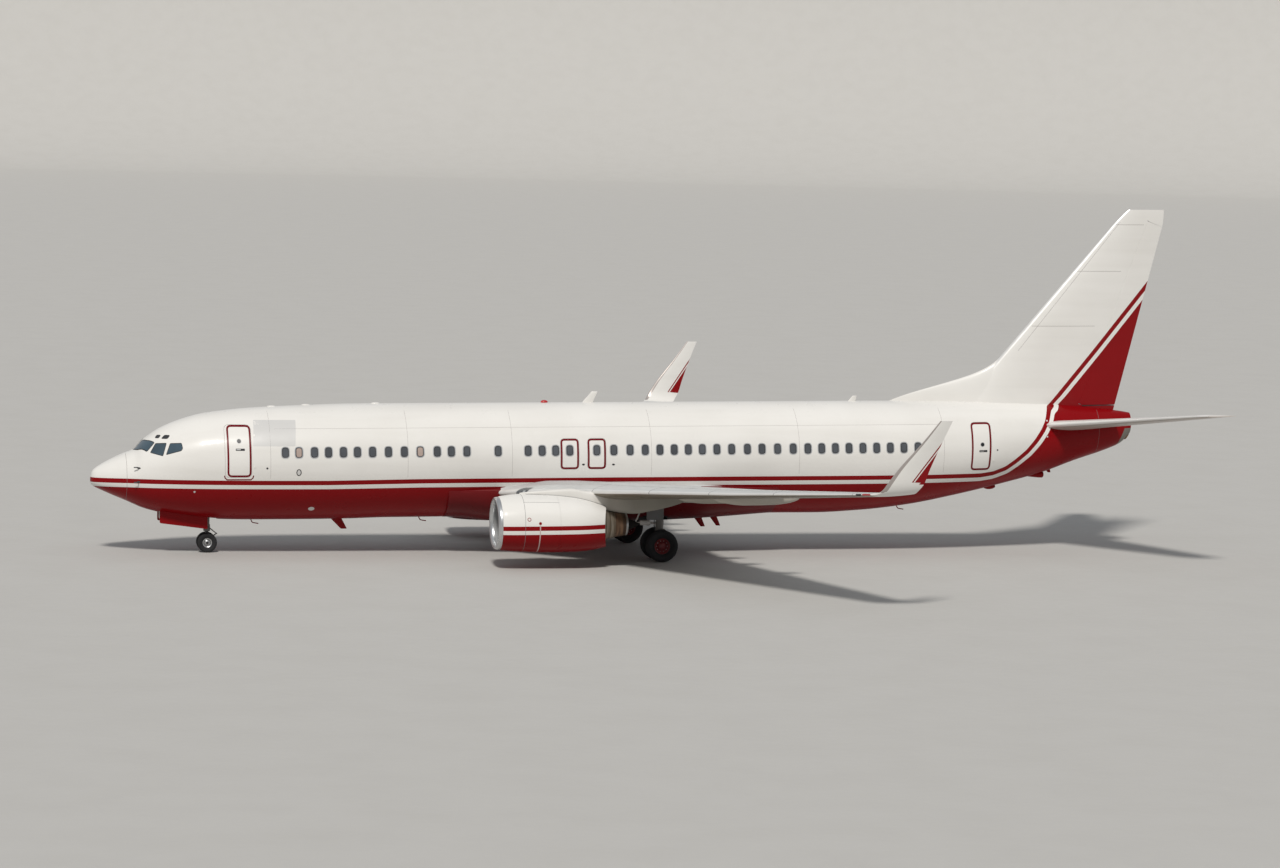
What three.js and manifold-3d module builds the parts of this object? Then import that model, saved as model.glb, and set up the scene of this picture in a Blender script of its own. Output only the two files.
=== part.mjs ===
// A twin-engined single-aisle airliner with blended winglets, parked on its gear.
// Millimetres. The nose points to -X, +Y is starboard, +Z is up and the ground is Z = 0.
// Every piece is drawn in the airframe's own frame: x aft from the nose tip, y starboard, z up from
// the fuselage centreline. The last group tilts that frame to the stance on the wheels.
import * as THREE from "three";
import { mergeVertices } from "three/addons/utils/BufferGeometryUtils.js";
import Module from "manifold-3d";

const wasm = await Module();
wasm.setup();

// Stance: the fuselage rides slightly nose down, pivoting about a point over the main gear.
const MID_X = 19735; // from the nose tip to the middle of the whole length
const NOSE_DOWN = THREE.MathUtils.degToRad(0.631);
const PIVOT = { x: 19800, height: 3462 };

// Gaps
const SEAM = 0.4; // between pieces that meet
const RUNNING = 8; // between a moving piece and its neighbour

// Control surfaces turn on stubs at both ends of their hinge lines
const HINGE_PIN = { radius: 20, length: 100 };
const SWING = { aileron: 20, elevator: 20, rudder: 26 }; // degrees either way
const HALF_DEPTH = { aileron: 72, elevator: 90, rudder: 172 }; // of the section at the hinge
const PIN_ROOM = 500; // ahead of a surface, where its stubs end square to it

// Fuselage sections
const HULL_COLUMNS = ["x", "halfWidth", "level", "crown", "keel"]; // level: height of the greatest width
const HULL_ROWS = [
  [20, 110, -710, -610, -820],
  [90, 260, -710, -450, -900],
  [380, 520, -700, -260, -1060],
  [750, 745, -670, -30, -1230],
  [1220, 980, -630, 205, -1430],
  [1520, 1100, -600, 340, -1570],
  [1790, 1195, -560, 630, -1690],
  [2150, 1310, -500, 905, -1800],
  [2490, 1395, -440, 1110, -1880],
  [3190, 1545, -340, 1390, -1990],
  [3900, 1660, -260, 1580, -2080],
  [4620, 1740, -190, 1680, -2135],
  [5330, 1795, -130, 1750, -2155],
  [6330, 1845, -70, 1805, -2165],
  [7480, 1872, -20, 1850, -2170],
  [8930, 1880, 0, 1890, -2165],
  [10400, 1880, 0, 1895, -2135],
  [24500, 1880, 0, 1890, -2120],
  [26000, 1880, 0, 1890, -2020],
  [27800, 1870, 20, 1890, -1890],
  [29490, 1815, 80, 1885, -1740],
  [31190, 1690, 190, 1875, -1540],
  [33080, 1430, 370, 1845, -1150],
  [34600, 1145, 530, 1790, -760],
  [35840, 870, 690, 1700, -330],
  [36900, 600, 830, 1565, 0],
  [37600, 400, 920, 1470, 280],
  [37950, 290, 990, 1410, 620],
];
const HULL_SIDES = 32;
const RADOME_SEAM = 1220;
const TAIL_CONE_SEAM = 36600;
const EXHAUST_PIPE = { radius: 170, length: 90, z: 1018 };

// Wing-to-body fairing under the belly
const FAIRING_TOP = -1050;
const FAIRING_COLUMNS = ["x", "halfWidth", "keel", "squareness"];
const FAIRING_ROWS = [
  [12400, 1632, -2133, 2],
  [14000, 1800, -2270, 2.2],
  [15600, 1960, -2310, 2.5],
  [19600, 1980, -2320, 2.6],
  [21600, 1880, -2270, 2.4],
  [24300, 1632, -2122, 2],
];
const WELL = { x: 19800, y: 950, radius: 600, roof: -1600 };

// Doors and exits in the fuselage sides: x from, x to, sill and head heights
const DOOR_DEPTH = 90;
const DOOR_CORNER = 170;
const EXIT_CORNER = 120;
const EXIT_ROOM = { height: 200, behind: 22 }; // behind the head of an exit, so that it swings out and up
const DOOR_COLUMNS = ["name", "side", "from", "to", "sill", "head"];
const DOOR_ROWS = [
  ["forward_entry_door", -1, 4500, 5430, -510, 1300],
  ["forward_service_door", 1, 4580, 5350, -480, 1200],
  ["aft_entry_door", -1, 31420, 32190, -495, 1225],
  ["aft_service_door", 1, 31420, 32190, -495, 1225],
];
const EXIT_ROWS = [
  ["overwing_exit_left_1", -1, 16320, 16980, -310, 760],
  ["overwing_exit_left_2", -1, 17290, 17950, -310, 760],
  ["overwing_exit_right_1", 1, 16320, 16980, -310, 760],
  ["overwing_exit_right_2", 1, 17290, 17950, -310, 760],
];

// Wing sections. Drop is how far the trailing edge lies below the leading edge.
const WING_COLUMNS = ["y", "nose", "tail", "z", "drop", "thickness"];
const WING_ROWS = [
  [1200, 13600, 21500, -1090, -60, 0.125],
  [1900, 14200, 21500, -1040, -60, 0.125],
  [4600, 16630, 21600, -810, 20, 0.12],
  [5800, 17270, 21700, -705, 10, 0.115],
  [11200, 20160, 23080, -230, 20, 0.105],
  [17150, 23345, 24620, 370, 10, 0.1],
];
// Winglet sections run on from the wing tip. Cant is the lean of the section from the level.
const WINGLET_COLUMNS = ["y", "z", "nose", "tail", "cant", "thickness"];
const WINGLET_ROWS = [
  [17150.4, 370, 23345, 24620, 0, 0.1],
  [17330, 405, 23490, 24740, 25, 0.1],
  [17480, 540, 23640, 24850, 52, 0.1],
  [17565, 760, 23780, 24990, 70, 0.095],
  [17640, 1250, 24130, 25160, 79, 0.09],
  [17780, 2100, 24860, 25500, 81, 0.085],
  [17880, 2780, 25390, 25800, 81, 0.08],
];
const SECTION_STEPS = [0, 0.015, 0.06, 0.15, 0.3, 0.48, 0.68, 0.86, 1];
const TRAILING_EDGE = 12; // thickness of a blunt trailing edge

// Hinged and sliding surfaces of the wing: where their front line starts and ends
const AILERON = { from: { x: 22830, y: 12900 }, to: { x: 23905, y: 16350 } };
const OUTER_FLAP = { from: { x: 20560, y: 5750 }, to: { x: 22690, y: 12700 } };
const INNER_FLAP = { from: { x: 19950, y: 2200 }, to: { x: 20150, y: 4700 } };

// Flap track fairings under the wing
const CANOE = { length: 3100, overhang: 720, halfWidth: 190, depth: 330 };
const CANOE_PLACES = [4250, 6100, 8800];

// Fin, rudder and dorsal fin. Fin sections are level cuts.
const FIN_COLUMNS = ["z", "nose", "tail", "thickness"];
const FIN_ROWS = [
  [1500, 31240, 37340, 0.11],
  [3600, 33070, 37880, 0.11],
  [8350, 37220, 39090, 0.095],
  [8700, 37570, 39110, 0.08],
  [8850, 37760, 39110, 0.06],
];
const RUDDER = { from: { x: 35980, z: 1760 }, to: { x: 38490, z: 8430 } };
const RUDDER_FOOTING = { reach: 4000, rise: 1600, lean: 600 };
const DORSAL_COLUMNS = ["z", "nose", "tail", "halfWidth"];
const DORSAL_ROWS = [
  [1700, 28500, 33300, 110],
  [1890, 28800, 33400, 95],
  [2890, 32040, 33900, 70],
  [3250, 32720, 34000, 55],
  [3640, 33060, 34200, 45],
];

// Stabiliser and elevator
const STABILISER_COLUMNS = ["y", "nose", "tail", "z", "drop", "thickness"];
const STABILISER_ROWS = [
  [500, 33990, 37290, 972, 0, 0.1],
  [1200, 34420, 37510, 1070, 0, 0.1],
  [7000, 38020, 39300, 1876, 0, 0.09],
  [7175, 38320, 39380, 1900, 0, 0.07],
];
const ELEVATOR = { from: { x: 36700, y: 1150 }, to: { x: 38990, y: 6900 } };

// Engine: outer sections of the nacelle, then the round duct inside it
const ENGINE_Y = 4830;
const NACELLE_LEVEL = -1850;
const NACELLE_COLUMNS = ["x", "halfWidth", "crown", "keel"];
const NACELLE_ROWS = [
  [13420, 890, -960, -2710],
  [13480, 960, -895, -2770],
  [13680, 1035, -855, -2815],
  [14300, 1085, -835, -2850],
  [15300, 1095, -832, -2865],
  [16100, 1060, -885, -2850],
  [16700, 950, -1010, -2810],
  [17320, 765, -1265, -2700],
];
const DUCT_COLUMNS = ["x", "radius", "z"];
const DUCT_ROWS = [
  [13400, 860, -1850],
  [13490, 800, -1850],
  [13680, 772, -1850],
  [14300, 775, -1860],
  [14700, 790, -1870],
  [15600, 850, -1890],
  [16500, 820, -1930],
  [17340, 690, -1980],
];
const NACELLE_SIDES = 24;
const LIP_SEAM = 13680;
const SLEEVE_SEAM = 15560; // between the fan cowl and the reverser's sleeve
const NACELLE_END = 17320;
const FAN = { x: 14480, z: -1862, hub: 240, depth: 190, blades: 24, nose: 480 };
const BLADE_COLUMNS = ["radius", "chord", "pitch", "thickness"];
const BLADE_ROWS = [
  [200, 180, 44, 34],
  [480, 196, 51, 28],
  [762, 210, 58, 22],
];
const CORE_Z = -1930;
const CORE_PROFILE = [
  [14575 + SEAM, 0],
  [14575 + SEAM, 70],
  [14660, 70],
  [14660, 235],
  [14900, 400],
  [15600, 590],
  [16600, 590],
  [17330, 500],
  [17400, 468],
  [18180, 350],
  [18180, 322],
  [17950, 330],
  [17900, 250],
  [18300, 215],
  [18760, 25],
  [18760, 0],
]; // x and radius
const VANES = { count: 6, from: 15050, to: 15450, thickness: 30 };
const PYLON_COLUMNS = ["x", "halfWidth", "foot", "head"];
const PYLON_ROWS = [
  [14300, 40, -900, -800],
  [15000, 120, -950, -735],
  [16200, 175, -1100, -620],
  [17300, 185, -1330, -600],
  [18300, 170, -1560, -700],
  [18950, 120, -1480, -800],
  [19900, 50, -1260, -850],
];

// Landing gear, measured from the ground
const MAIN = { x: 19710, y: 2860, tyre: 565, width: 420, spread: 430, rim: 265, axle: 62 };
const NOSE = { x: 4110, y: 0, tyre: 343, width: 200, spread: 205, rim: 155, axle: 36 };
const WHEEL_SEGMENTS = 24;
const PIN_GAP = 0.6; // around an axle in its bearing
const MAIN_LEG = { cylinder: 135, piston: 95, split: 1050, top: 2450, bearing: 105 };
const NOSE_LEG = { cylinder: 95, piston: 62, split: 900, top: 1600, bearing: 68, collar: 120 };
const NOSE_BAY = { from: 2380, to: 4420, halfWidth: 430, roof: -1520 };
const NOSE_DOOR = { from: 2395, to: 4060, thickness: 28, foot: -2440 };

// Jacking pads: flat discs that face the ground
const JACK_PAD = { radius: 75, rise: 160 };
const WING_JACK_PAD = { x: 18900, y: 3750, height: 2240 };
const NOSE_JACK_PAD = { x: 4900, y: 0, height: 1118 };

const COLOURS = {
  white: { color: 0xdedcd6, roughness: 0.35, metalness: 0 },
  red: { color: 0xa30f1e, roughness: 0.35, metalness: 0 },
  grey: { color: 0xa9aaa6, roughness: 0.45, metalness: 0 },
  metal: { color: 0xb9bcc0, roughness: 0.3, metalness: 0.9 },
  bronze: { color: 0x7b5a45, roughness: 0.45, metalness: 0.8 },
  dark: { color: 0x3a3d42, roughness: 0.5, metalness: 0.6 },
  strut: { color: 0xc2c4c2, roughness: 0.45, metalness: 0.2 },
  rubber: { color: 0x17181a, roughness: 0.85, metalness: 0 },
};

// The frame of the airframe, and points given from the ground
const aircraft = new THREE.Group();
aircraft.rotation.y = -NOSE_DOWN;
aircraft.position.set(
  PIVOT.x * (1 - Math.cos(NOSE_DOWN)) - MID_X,
  0,
  PIVOT.height - PIVOT.x * Math.sin(NOSE_DOWN),
);
aircraft.updateMatrix();
const fromGround = aircraft.matrix.clone().invert();
const at = (x, y, height) => new THREE.Vector3(x - MID_X, y, height).applyMatrix4(fromGround);

const table = (columns, rows) => rows.map((row) => Object.fromEntries(columns.map((c, i) => [c, row[i]])));
const hullTable = table(HULL_COLUMNS, HULL_ROWS);
const fairingTable = table(FAIRING_COLUMNS, FAIRING_ROWS);
const wingTable = table(WING_COLUMNS, WING_ROWS);
const stabiliserTable = table(STABILISER_COLUMNS, STABILISER_ROWS);
const nacelleTable = table(NACELLE_COLUMNS, NACELLE_ROWS);
const ductTable = table(DUCT_COLUMNS, DUCT_ROWS);

// Rows of a table between two values of one column, with rows worked out at both ends
function rowAt(rows, key, value) {
  const after = Math.max(1, rows.findIndex((row) => row[key] >= value));
  const [a, b] = [rows[after - 1], rows[after]];
  const t = (value - a[key]) / (b[key] - a[key]);
  return Object.fromEntries(Object.keys(a).map((k) => [k, a[k] + (b[k] - a[k]) * t]));
}
function rowsBetween(rows, key, from, to) {
  const inside = rows.filter((row) => row[key] > from + 1 && row[key] < to - 1);
  return [rowAt(rows, key, from), ...inside, rowAt(rows, key, to)];
}

// A closed geometry as a solid for cutting and joining, and back
function solid(geometry) {
  const bare = geometry.clone();
  bare.deleteAttribute("normal");
  bare.deleteAttribute("uv");
  const merged = mergeVertices(bare, 1e-3);
  const triVerts = new Uint32Array(merged.index.array);
  const vertProperties = new Float32Array(merged.attributes.position.array);
  const made = new wasm.Manifold(new wasm.Mesh({ numProp: 3, vertProperties, triVerts }));
  if (made.volume() > 0) return made;
  for (let i = 0; i < triVerts.length; i += 3) {
    [triVerts[i + 1], triVerts[i + 2]] = [triVerts[i + 2], triVerts[i + 1]];
  }
  return new wasm.Manifold(new wasm.Mesh({ numProp: 3, vertProperties, triVerts }));
}
function geometryOf(body) {
  const mesh = body.getMesh();
  const vertices = new Float32Array(mesh.numVert * 3);
  for (let i = 0; i < mesh.numVert; i++) {
    vertices.set(mesh.vertProperties.subarray(i * mesh.numProp, i * mesh.numProp + 3), i * 3);
  }
  const geometry = new THREE.BufferGeometry();
  geometry.setAttribute("position", new THREE.BufferAttribute(vertices, 3));
  geometry.setIndex(new THREE.BufferAttribute(new Uint32Array(mesh.triVerts), 1));
  return geometry;
}
function mirrored(body) {
  return solid(geometryOf(body).applyMatrix4(new THREE.Matrix4().makeScale(1, -1, 1)));
}

// A solid through rings of equally many points, closed at both ends. Each four-sided face is split
// in two, and the other way where otherWay says so: on the port side, so that both sides of the
// aircraft are true mirror images.
const onPort = (corners) => corners.reduce((sum, p) => sum + p.y, 0) < 0;
function skin(rings, otherWay = onPort) {
  const count = rings[0].length;
  const points = rings.flat();
  const index = [];
  for (let r = 0; r + 1 < rings.length; r++) {
    for (let i = 0; i < count; i++) {
      const a = r * count + i;
      const b = r * count + ((i + 1) % count);
      const corners = [a, b, a + count, b + count].map((k) => points[k]);
      if (otherWay(corners, i)) index.push(a, b, b + count, a, b + count, a + count);
      else index.push(a, b, a + count, b, b + count, a + count);
    }
  }
  for (const [ring, first, turn] of [
    [rings[0], 0, 1],
    [rings.at(-1), (rings.length - 1) * count, 0],
  ]) {
    const middle = ring.reduce((sum, p) => sum.add(p), new THREE.Vector3()).divideScalar(count);
    points.push(middle);
    for (let i = 0; i < count; i++) {
      const [a, b] = [first + i, first + ((i + 1) % count)];
      index.push(...(turn ? [b, a] : [a, b]), points.length - 1);
    }
  }
  const geometry = new THREE.BufferGeometry().setFromPoints(points);
  geometry.setIndex(index);
  return solid(geometry);
}

// Basic shapes
const vec = (x, y, z) => new THREE.Vector3(x, y, z);
function rod(from, to, radius, sides = 16, start = 0) {
  const along = to.clone().sub(from);
  const geometry = new THREE.CylinderGeometry(radius, radius, along.length(), sides, 1, false, start);
  const turn = new THREE.Quaternion().setFromUnitVectors(vec(0, 1, 0), along.clone().normalize());
  geometry.applyQuaternion(turn);
  geometry.translate(...from.clone().lerp(to, 0.5).toArray());
  return solid(geometry);
}
function box(from, to) {
  const size = to.clone().sub(from);
  const geometry = new THREE.BoxGeometry(Math.abs(size.x), Math.abs(size.y), Math.abs(size.z));
  geometry.translate(...from.clone().lerp(to, 0.5).toArray());
  return solid(geometry);
}
// A bearing's hole: its flats face the corners of the axle that turns in it
function bearingHole(from, to, radius, sides = 16) {
  const half = Math.PI / sides;
  return rod(from, to, (radius + PIN_GAP) / Math.cos(half), sides, half);
}
function sideways(shape, from, to) {
  const settings = { depth: to - from, bevelEnabled: false, curveSegments: 1 };
  const geometry = new THREE.ExtrudeGeometry(shape, settings);
  return solid(geometry.rotateX(Math.PI / 2).translate(0, to, 0));
}
const union = (bodies) => bodies.reduce((all, body) => all.add(body));

// Fuselage
function hullRing(row, grow) {
  return Array.from({ length: HULL_SIDES }, (_, i) => {
    const angle = (2 * Math.PI * i) / HULL_SIDES;
    const [c, s] = [Math.cos(angle), Math.sin(angle)];
    const half = s > 0 ? row.crown - row.level : row.level - row.keel;
    return vec(row.x, (row.halfWidth + grow) * c, row.level + (half + grow) * s);
  });
}
const hull = (from, to, grow = 0) =>
  skin(rowsBetween(hullTable, "x", from, to).map((row) => hullRing(row, grow)));

function fairing(grow = 0) {
  const sides = 24;
  return skin(
    fairingTable.map((row, i) => {
      const end = i === 0 ? -grow : i === fairingTable.length - 1 ? grow : 0;
      return Array.from({ length: sides + 1 }, (_, j) => {
        const angle = Math.PI + (Math.PI * j) / sides;
        const power = 2 / row.squareness;
        const [c, s] = [Math.cos(angle), Math.sin(angle)];
        const y = (row.halfWidth + grow) * Math.sign(c) * Math.abs(c) ** power;
        const depth = FAIRING_TOP - SEAM - row.keel + grow;
        return vec(row.x + end, y, FAIRING_TOP - SEAM + grow - (depth + grow) * Math.abs(s) ** power);
      });
    }),
  );
}

function roundedOutline(from, to, low, high, corner) {
  const shape = new THREE.Shape();
  shape.moveTo(from + corner, low);
  shape.lineTo(to - corner, low);
  shape.absarc(to - corner, low + corner, corner, -Math.PI / 2, 0);
  shape.lineTo(to, high - corner);
  shape.absarc(to - corner, high - corner, corner, 0, Math.PI / 2);
  shape.lineTo(from + corner, high);
  shape.absarc(from + corner, high - corner, corner, Math.PI / 2, Math.PI);
  shape.lineTo(from, low + corner);
  shape.absarc(from + corner, low + corner, corner, Math.PI, 1.5 * Math.PI);
  return shape;
}
function doorPlug(row, corner, around, behind) {
  const outline = roundedOutline(
    row.from - around,
    row.to + around,
    row.sill - around,
    row.head + around,
    corner + around,
  );
  const outer = hull(row.from - 200, row.to + 200, around > 0 ? 60 : 0);
  const inner = hull(row.from - 220, row.to + 220, -DOOR_DEPTH - behind);
  const [near, far] = row.side < 0 ? [-2500, -800] : [800, 2500];
  return outer.intersect(sideways(outline, near, far)).subtract(inner);
}

// An exit's own outline with its running gap, right through the side
function exitPocket(row) {
  const outline = roundedOutline(
    row.from - RUNNING,
    row.to + RUNNING,
    row.sill - RUNNING,
    row.head + RUNNING,
    EXIT_CORNER + RUNNING,
  );
  return sideways(outline, -3000, 3000);
}

// Flying surfaces
function halfThickness(fraction, thickness) {
  const root = 0.2969 * Math.sqrt(fraction);
  const rest = fraction * (-0.126 + fraction * (-0.3516 + fraction * (0.2843 - 0.1036 * fraction)));
  return 5 * thickness * (root + rest);
}
// A section from the nose to the tail. Up is the direction of its thickness.
function foil(nose, tail, thickness, up, grow) {
  const chord = nose.distanceTo(tail);
  const along = tail.clone().sub(nose).normalize();
  const point = (fraction, side) => {
    const high = halfThickness(fraction, thickness) * chord + (TRAILING_EDGE / 2) * fraction + grow;
    return nose
      .clone()
      .addScaledVector(along, fraction * chord + (fraction === 1 ? grow : fraction === 0 ? -grow : 0))
      .addScaledVector(up, fraction === 0 ? 0 : side * high);
  };
  const upper = SECTION_STEPS.map((f) => point(f, 1));
  const lower = SECTION_STEPS.slice(1).map((f) => point(f, -1));
  return [...upper, ...lower.reverse()];
}
function wingPanel(rows, grow = 0) {
  const up = vec(0, 0, 1);
  const section = ({ nose, tail, y, z, drop, thickness }) =>
    foil(vec(nose, y, z), vec(tail, y, z - drop), thickness, up, grow);
  return skin(rows.map(section));
}
function winglet() {
  return skin(
    table(WINGLET_COLUMNS, WINGLET_ROWS).map((row) => {
      const cant = THREE.MathUtils.degToRad(row.cant);
      const up = vec(0, -Math.sin(cant), Math.cos(cant));
      return foil(vec(row.nose, row.y, row.z), vec(row.tail, row.y, row.z), row.thickness, up, 0);
    }),
  );
}
// The room of a surface that turns about the line between two points: a block behind that line
// whose ends are square to it, so that turning keeps them clear of the fixed part.
const ROOM = { chord: 6000, halfHeight: 3000 };
function roomBehind([from, to], across, ahead, around) {
  const along = to.clone().sub(from);
  const length = along.length();
  along.normalize();
  const aft = along.clone().cross(across).normalize();
  const block = new THREE.BoxGeometry(length + 2 * around, ROOM.chord + ahead, 2 * ROOM.halfHeight);
  block.translate(length / 2, (ROOM.chord - ahead) / 2, 0);
  const frame = new THREE.Matrix4().makeBasis(along, aft, along.clone().cross(aft));
  return solid(block.applyMatrix4(frame).translate(from.x, from.y, from.z));
}
// How far ahead of the hinge line the fixed part ends, so that the turning front corner clears it
const hingeGap = (halfDepth, degrees) => halfDepth * Math.sin(THREE.MathUtils.degToRad(degrees)) + RUNNING;

// A front line's two ends in the middle of the section, and the stubs there on the fixed part
function hingeEnds(rows, line) {
  return [line.from, line.to].map(({ x, y }) => {
    const row = rowAt(rows, "y", y);
    return vec(x, y, row.z - (row.drop * (x - row.nose)) / (row.tail - row.nose));
  });
}
function hingePins([from, to]) {
  const along = to.clone().sub(from).normalize();
  const stub = (end, way) =>
    rod(
      end.clone().addScaledVector(along, way * SEAM),
      end.clone().addScaledVector(along, way * HINGE_PIN.length),
      HINGE_PIN.radius,
      8,
    );
  return union([stub(from, -1), stub(to, 1)]);
}

function canoe(y) {
  const row = rowAt(wingTable, "y", y);
  const end = row.tail + CANOE.overhang;
  const start = end - CANOE.length;
  const level = row.z - row.drop - 90;
  const shares = [0, 0.14, 0.4, 0.7, 0.9, 1];
  const fullness = [0.15, 0.72, 1, 0.9, 0.5, 0.15];
  return skin(
    shares.map((share, i) =>
      Array.from({ length: 10 }, (_, j) => {
        const angle = (2 * Math.PI * (j + 0.5)) / 10;
        const s = Math.sin(angle);
        const high = s > 0 ? 130 : CANOE.depth;
        return vec(
          start + share * CANOE.length,
          y + CANOE.halfWidth * fullness[i] * Math.cos(angle),
          level + high * fullness[i] * s,
        );
      }),
    ),
  );
}

// Fin and dorsal fin, drawn as level sections
function finBody(grow = 0) {
  const up = vec(0, 1, 0);
  return skin(
    table(FIN_COLUMNS, FIN_ROWS).map((row) =>
      foil(vec(row.nose, 0, row.z), vec(row.tail, 0, row.z), row.thickness, up, grow),
    ),
  );
}
function dorsalBody() {
  return skin(
    table(DORSAL_COLUMNS, DORSAL_ROWS).map((row) => {
      const side = [
        [row.nose, row.halfWidth * 0.25],
        [row.nose + 0.3 * (row.tail - row.nose), row.halfWidth * 0.7],
        [row.tail, row.halfWidth],
      ];
      const port = side.map(([x, y]) => vec(x, -y, row.z));
      const starboard = side.map(([x, y]) => vec(x, y, row.z)).reverse();
      return [...port, ...starboard];
    }),
  );
}

// Engine
function nacelleRing(row, grow, shift) {
  return Array.from({ length: NACELLE_SIDES }, (_, i) => {
    const angle = (2 * Math.PI * i) / NACELLE_SIDES;
    const [c, s] = [Math.cos(angle), Math.sin(angle)];
    const squash = s < 0 ? 0.86 : 1; // the underside is flattened
    const half = s > 0 ? row.crown - NACELLE_LEVEL : NACELLE_LEVEL - row.keel;
    return vec(
      row.x + shift,
      ENGINE_Y + (row.halfWidth + grow) * Math.sign(c) * Math.abs(c) ** squash,
      NACELLE_LEVEL + (half + grow) * Math.sign(s) * Math.abs(s) ** squash,
    );
  });
}
const nacelle = (from, to, grow = 0, shift = 0) =>
  skin(rowsBetween(nacelleTable, "x", from, to).map((row) => nacelleRing(row, grow, shift)));
function duct(grow = 0) {
  return skin(
    ductTable.map((row) =>
      Array.from({ length: NACELLE_SIDES }, (_, i) => {
        const angle = (2 * Math.PI * i) / NACELLE_SIDES;
        const radius = row.radius + grow;
        return vec(row.x, ENGINE_Y + radius * Math.cos(angle), row.z + radius * Math.sin(angle));
      }),
    ),
  );
}
function alongX(profile, z, segments) {
  const outline = profile.map(([x, radius]) => new THREE.Vector2(radius, x));
  const geometry = new THREE.LatheGeometry(outline, segments).rotateZ(-Math.PI / 2);
  return solid(geometry.translate(0, ENGINE_Y, z));
}
// Both faces of a twisted blade are split along the same diagonals, so that it is equally thick all over
function fanBlade(turn) {
  const rings = table(BLADE_COLUMNS, BLADE_ROWS).map((row) => {
    const lean = THREE.MathUtils.degToRad(row.pitch);
    const chordways = vec(Math.cos(lean), Math.sin(lean), 0).multiplyScalar(row.chord / 2);
    const across = vec(-Math.sin(lean), Math.cos(lean), 0).multiplyScalar(row.thickness / 2);
    const centre = vec(0, 0, row.radius);
    return [
      [-1, 0],
      [0, 1],
      [1, 0],
      [0, -1],
    ].map(([along, side]) => centre.clone().addScaledVector(chordways, along).addScaledVector(across, side));
  });
  const axis = vec(1, 0, 0);
  const place = vec(FAN.x, ENGINE_Y, FAN.z);
  const turned = rings.map((ring) => ring.map((p) => p.applyAxisAngle(axis, turn).add(place)));
  return skin(turned, (corners, i) => i >= 2);
}
function fanRotor() {
  const [front, back] = [FAN.x - FAN.depth / 2, FAN.x + FAN.depth / 2];
  const spinner = alongX(
    [
      [front - FAN.nose, 0],
      [front - FAN.nose * 0.9, FAN.hub * 0.2],
      [front - FAN.nose * 0.4, FAN.hub * 0.75],
      [front, FAN.hub],
      [back, FAN.hub],
      [back, 0],
    ],
    FAN.z,
    16,
  );
  const blades = Array.from({ length: FAN.blades }, (_, i) => fanBlade((2 * Math.PI * i) / FAN.blades));
  return union([spinner, ...blades]);
}
function engineCore() {
  const middle = alongX(CORE_PROFILE, CORE_Z, 24);
  const vanes = Array.from({ length: VANES.count }, (_, i) => {
    const geometry = new THREE.BoxGeometry(VANES.to - VANES.from, VANES.thickness, 1000);
    geometry.translate((VANES.from + VANES.to) / 2, 0, 500);
    geometry.rotateX((2 * Math.PI * i) / VANES.count);
    return solid(geometry.translate(0, ENGINE_Y, CORE_Z));
  });
  const inside = duct(-SEAM);
  return middle.add(union(vanes).intersect(inside));
}
function pylonBody() {
  return skin(
    table(PYLON_COLUMNS, PYLON_ROWS).map((row) =>
      Array.from({ length: 12 }, (_, i) => {
        const angle = (2 * Math.PI * (i + 0.5)) / 12;
        const [c, s] = [Math.cos(angle), Math.sin(angle)];
        const [middle, half] = [(row.foot + row.head) / 2, (row.head - row.foot) / 2];
        return vec(
          row.x,
          ENGINE_Y + row.halfWidth * Math.sign(c) * Math.abs(c) ** 0.5,
          middle + half * Math.sign(s) * Math.abs(s) ** 0.5,
        );
      }),
    ),
  );
}

function jackPad({ x, y, height }) {
  return rod(at(x, y, height), at(x, y, height + JACK_PAD.rise), JACK_PAD.radius, 16);
}

// Wheels. A flat of each many-sided wheel faces the ground, so that it stands without rolling.
function wheelLathe(profile, middle) {
  const half = Math.PI / WHEEL_SEGMENTS;
  const outline = profile.map(([radius, along]) => new THREE.Vector2(radius / Math.cos(half), along));
  const geometry = new THREE.LatheGeometry(outline, WHEEL_SEGMENTS).rotateY(half);
  return solid(geometry.translate(middle.x, middle.y, middle.z));
}
function tyre(gear, y) {
  const [r, w, rim] = [gear.tyre, gear.width / 2, gear.rim + SEAM];
  const half = [
    [rim, 0.66 * w],
    [rim + 0.45 * (r - rim), w],
    [rim + 0.84 * (r - rim), 0.86 * w],
    [r, 0.55 * w],
  ];
  const back = half.map(([radius, along]) => [radius, -along]).reverse();
  const loop = [...half, ...back, half[0]];
  return wheelLathe(loop, at(gear.x, y, gear.tyre));
}
function rimProfile(gear, outward) {
  const w = gear.width / 2;
  const hub = gear.axle * 1.9;
  return [
    [0, -0.58 * w],
    [gear.rim, -0.6 * w],
    [gear.rim, 0.6 * w],
    [0.82 * gear.rim, 0.56 * w],
    [0.75 * gear.rim, 0.2 * w],
    [hub, 0.62 * w],
    [0, 0.62 * w],
  ].map(([radius, along]) => [radius, along * outward]);
}
function wheelSet(gear, side) {
  const y = side * gear.y;
  const rims = [-1, 1].map((out) =>
    wheelLathe(rimProfile(gear, out), at(gear.x, y + out * gear.spread, gear.tyre)),
  );
  const [inner, outer] = [y - gear.spread, y + gear.spread];
  const axle = rod(at(gear.x, inner, gear.tyre), at(gear.x, outer, gear.tyre), gear.axle);
  return union([...rims, axle]);
}

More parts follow.
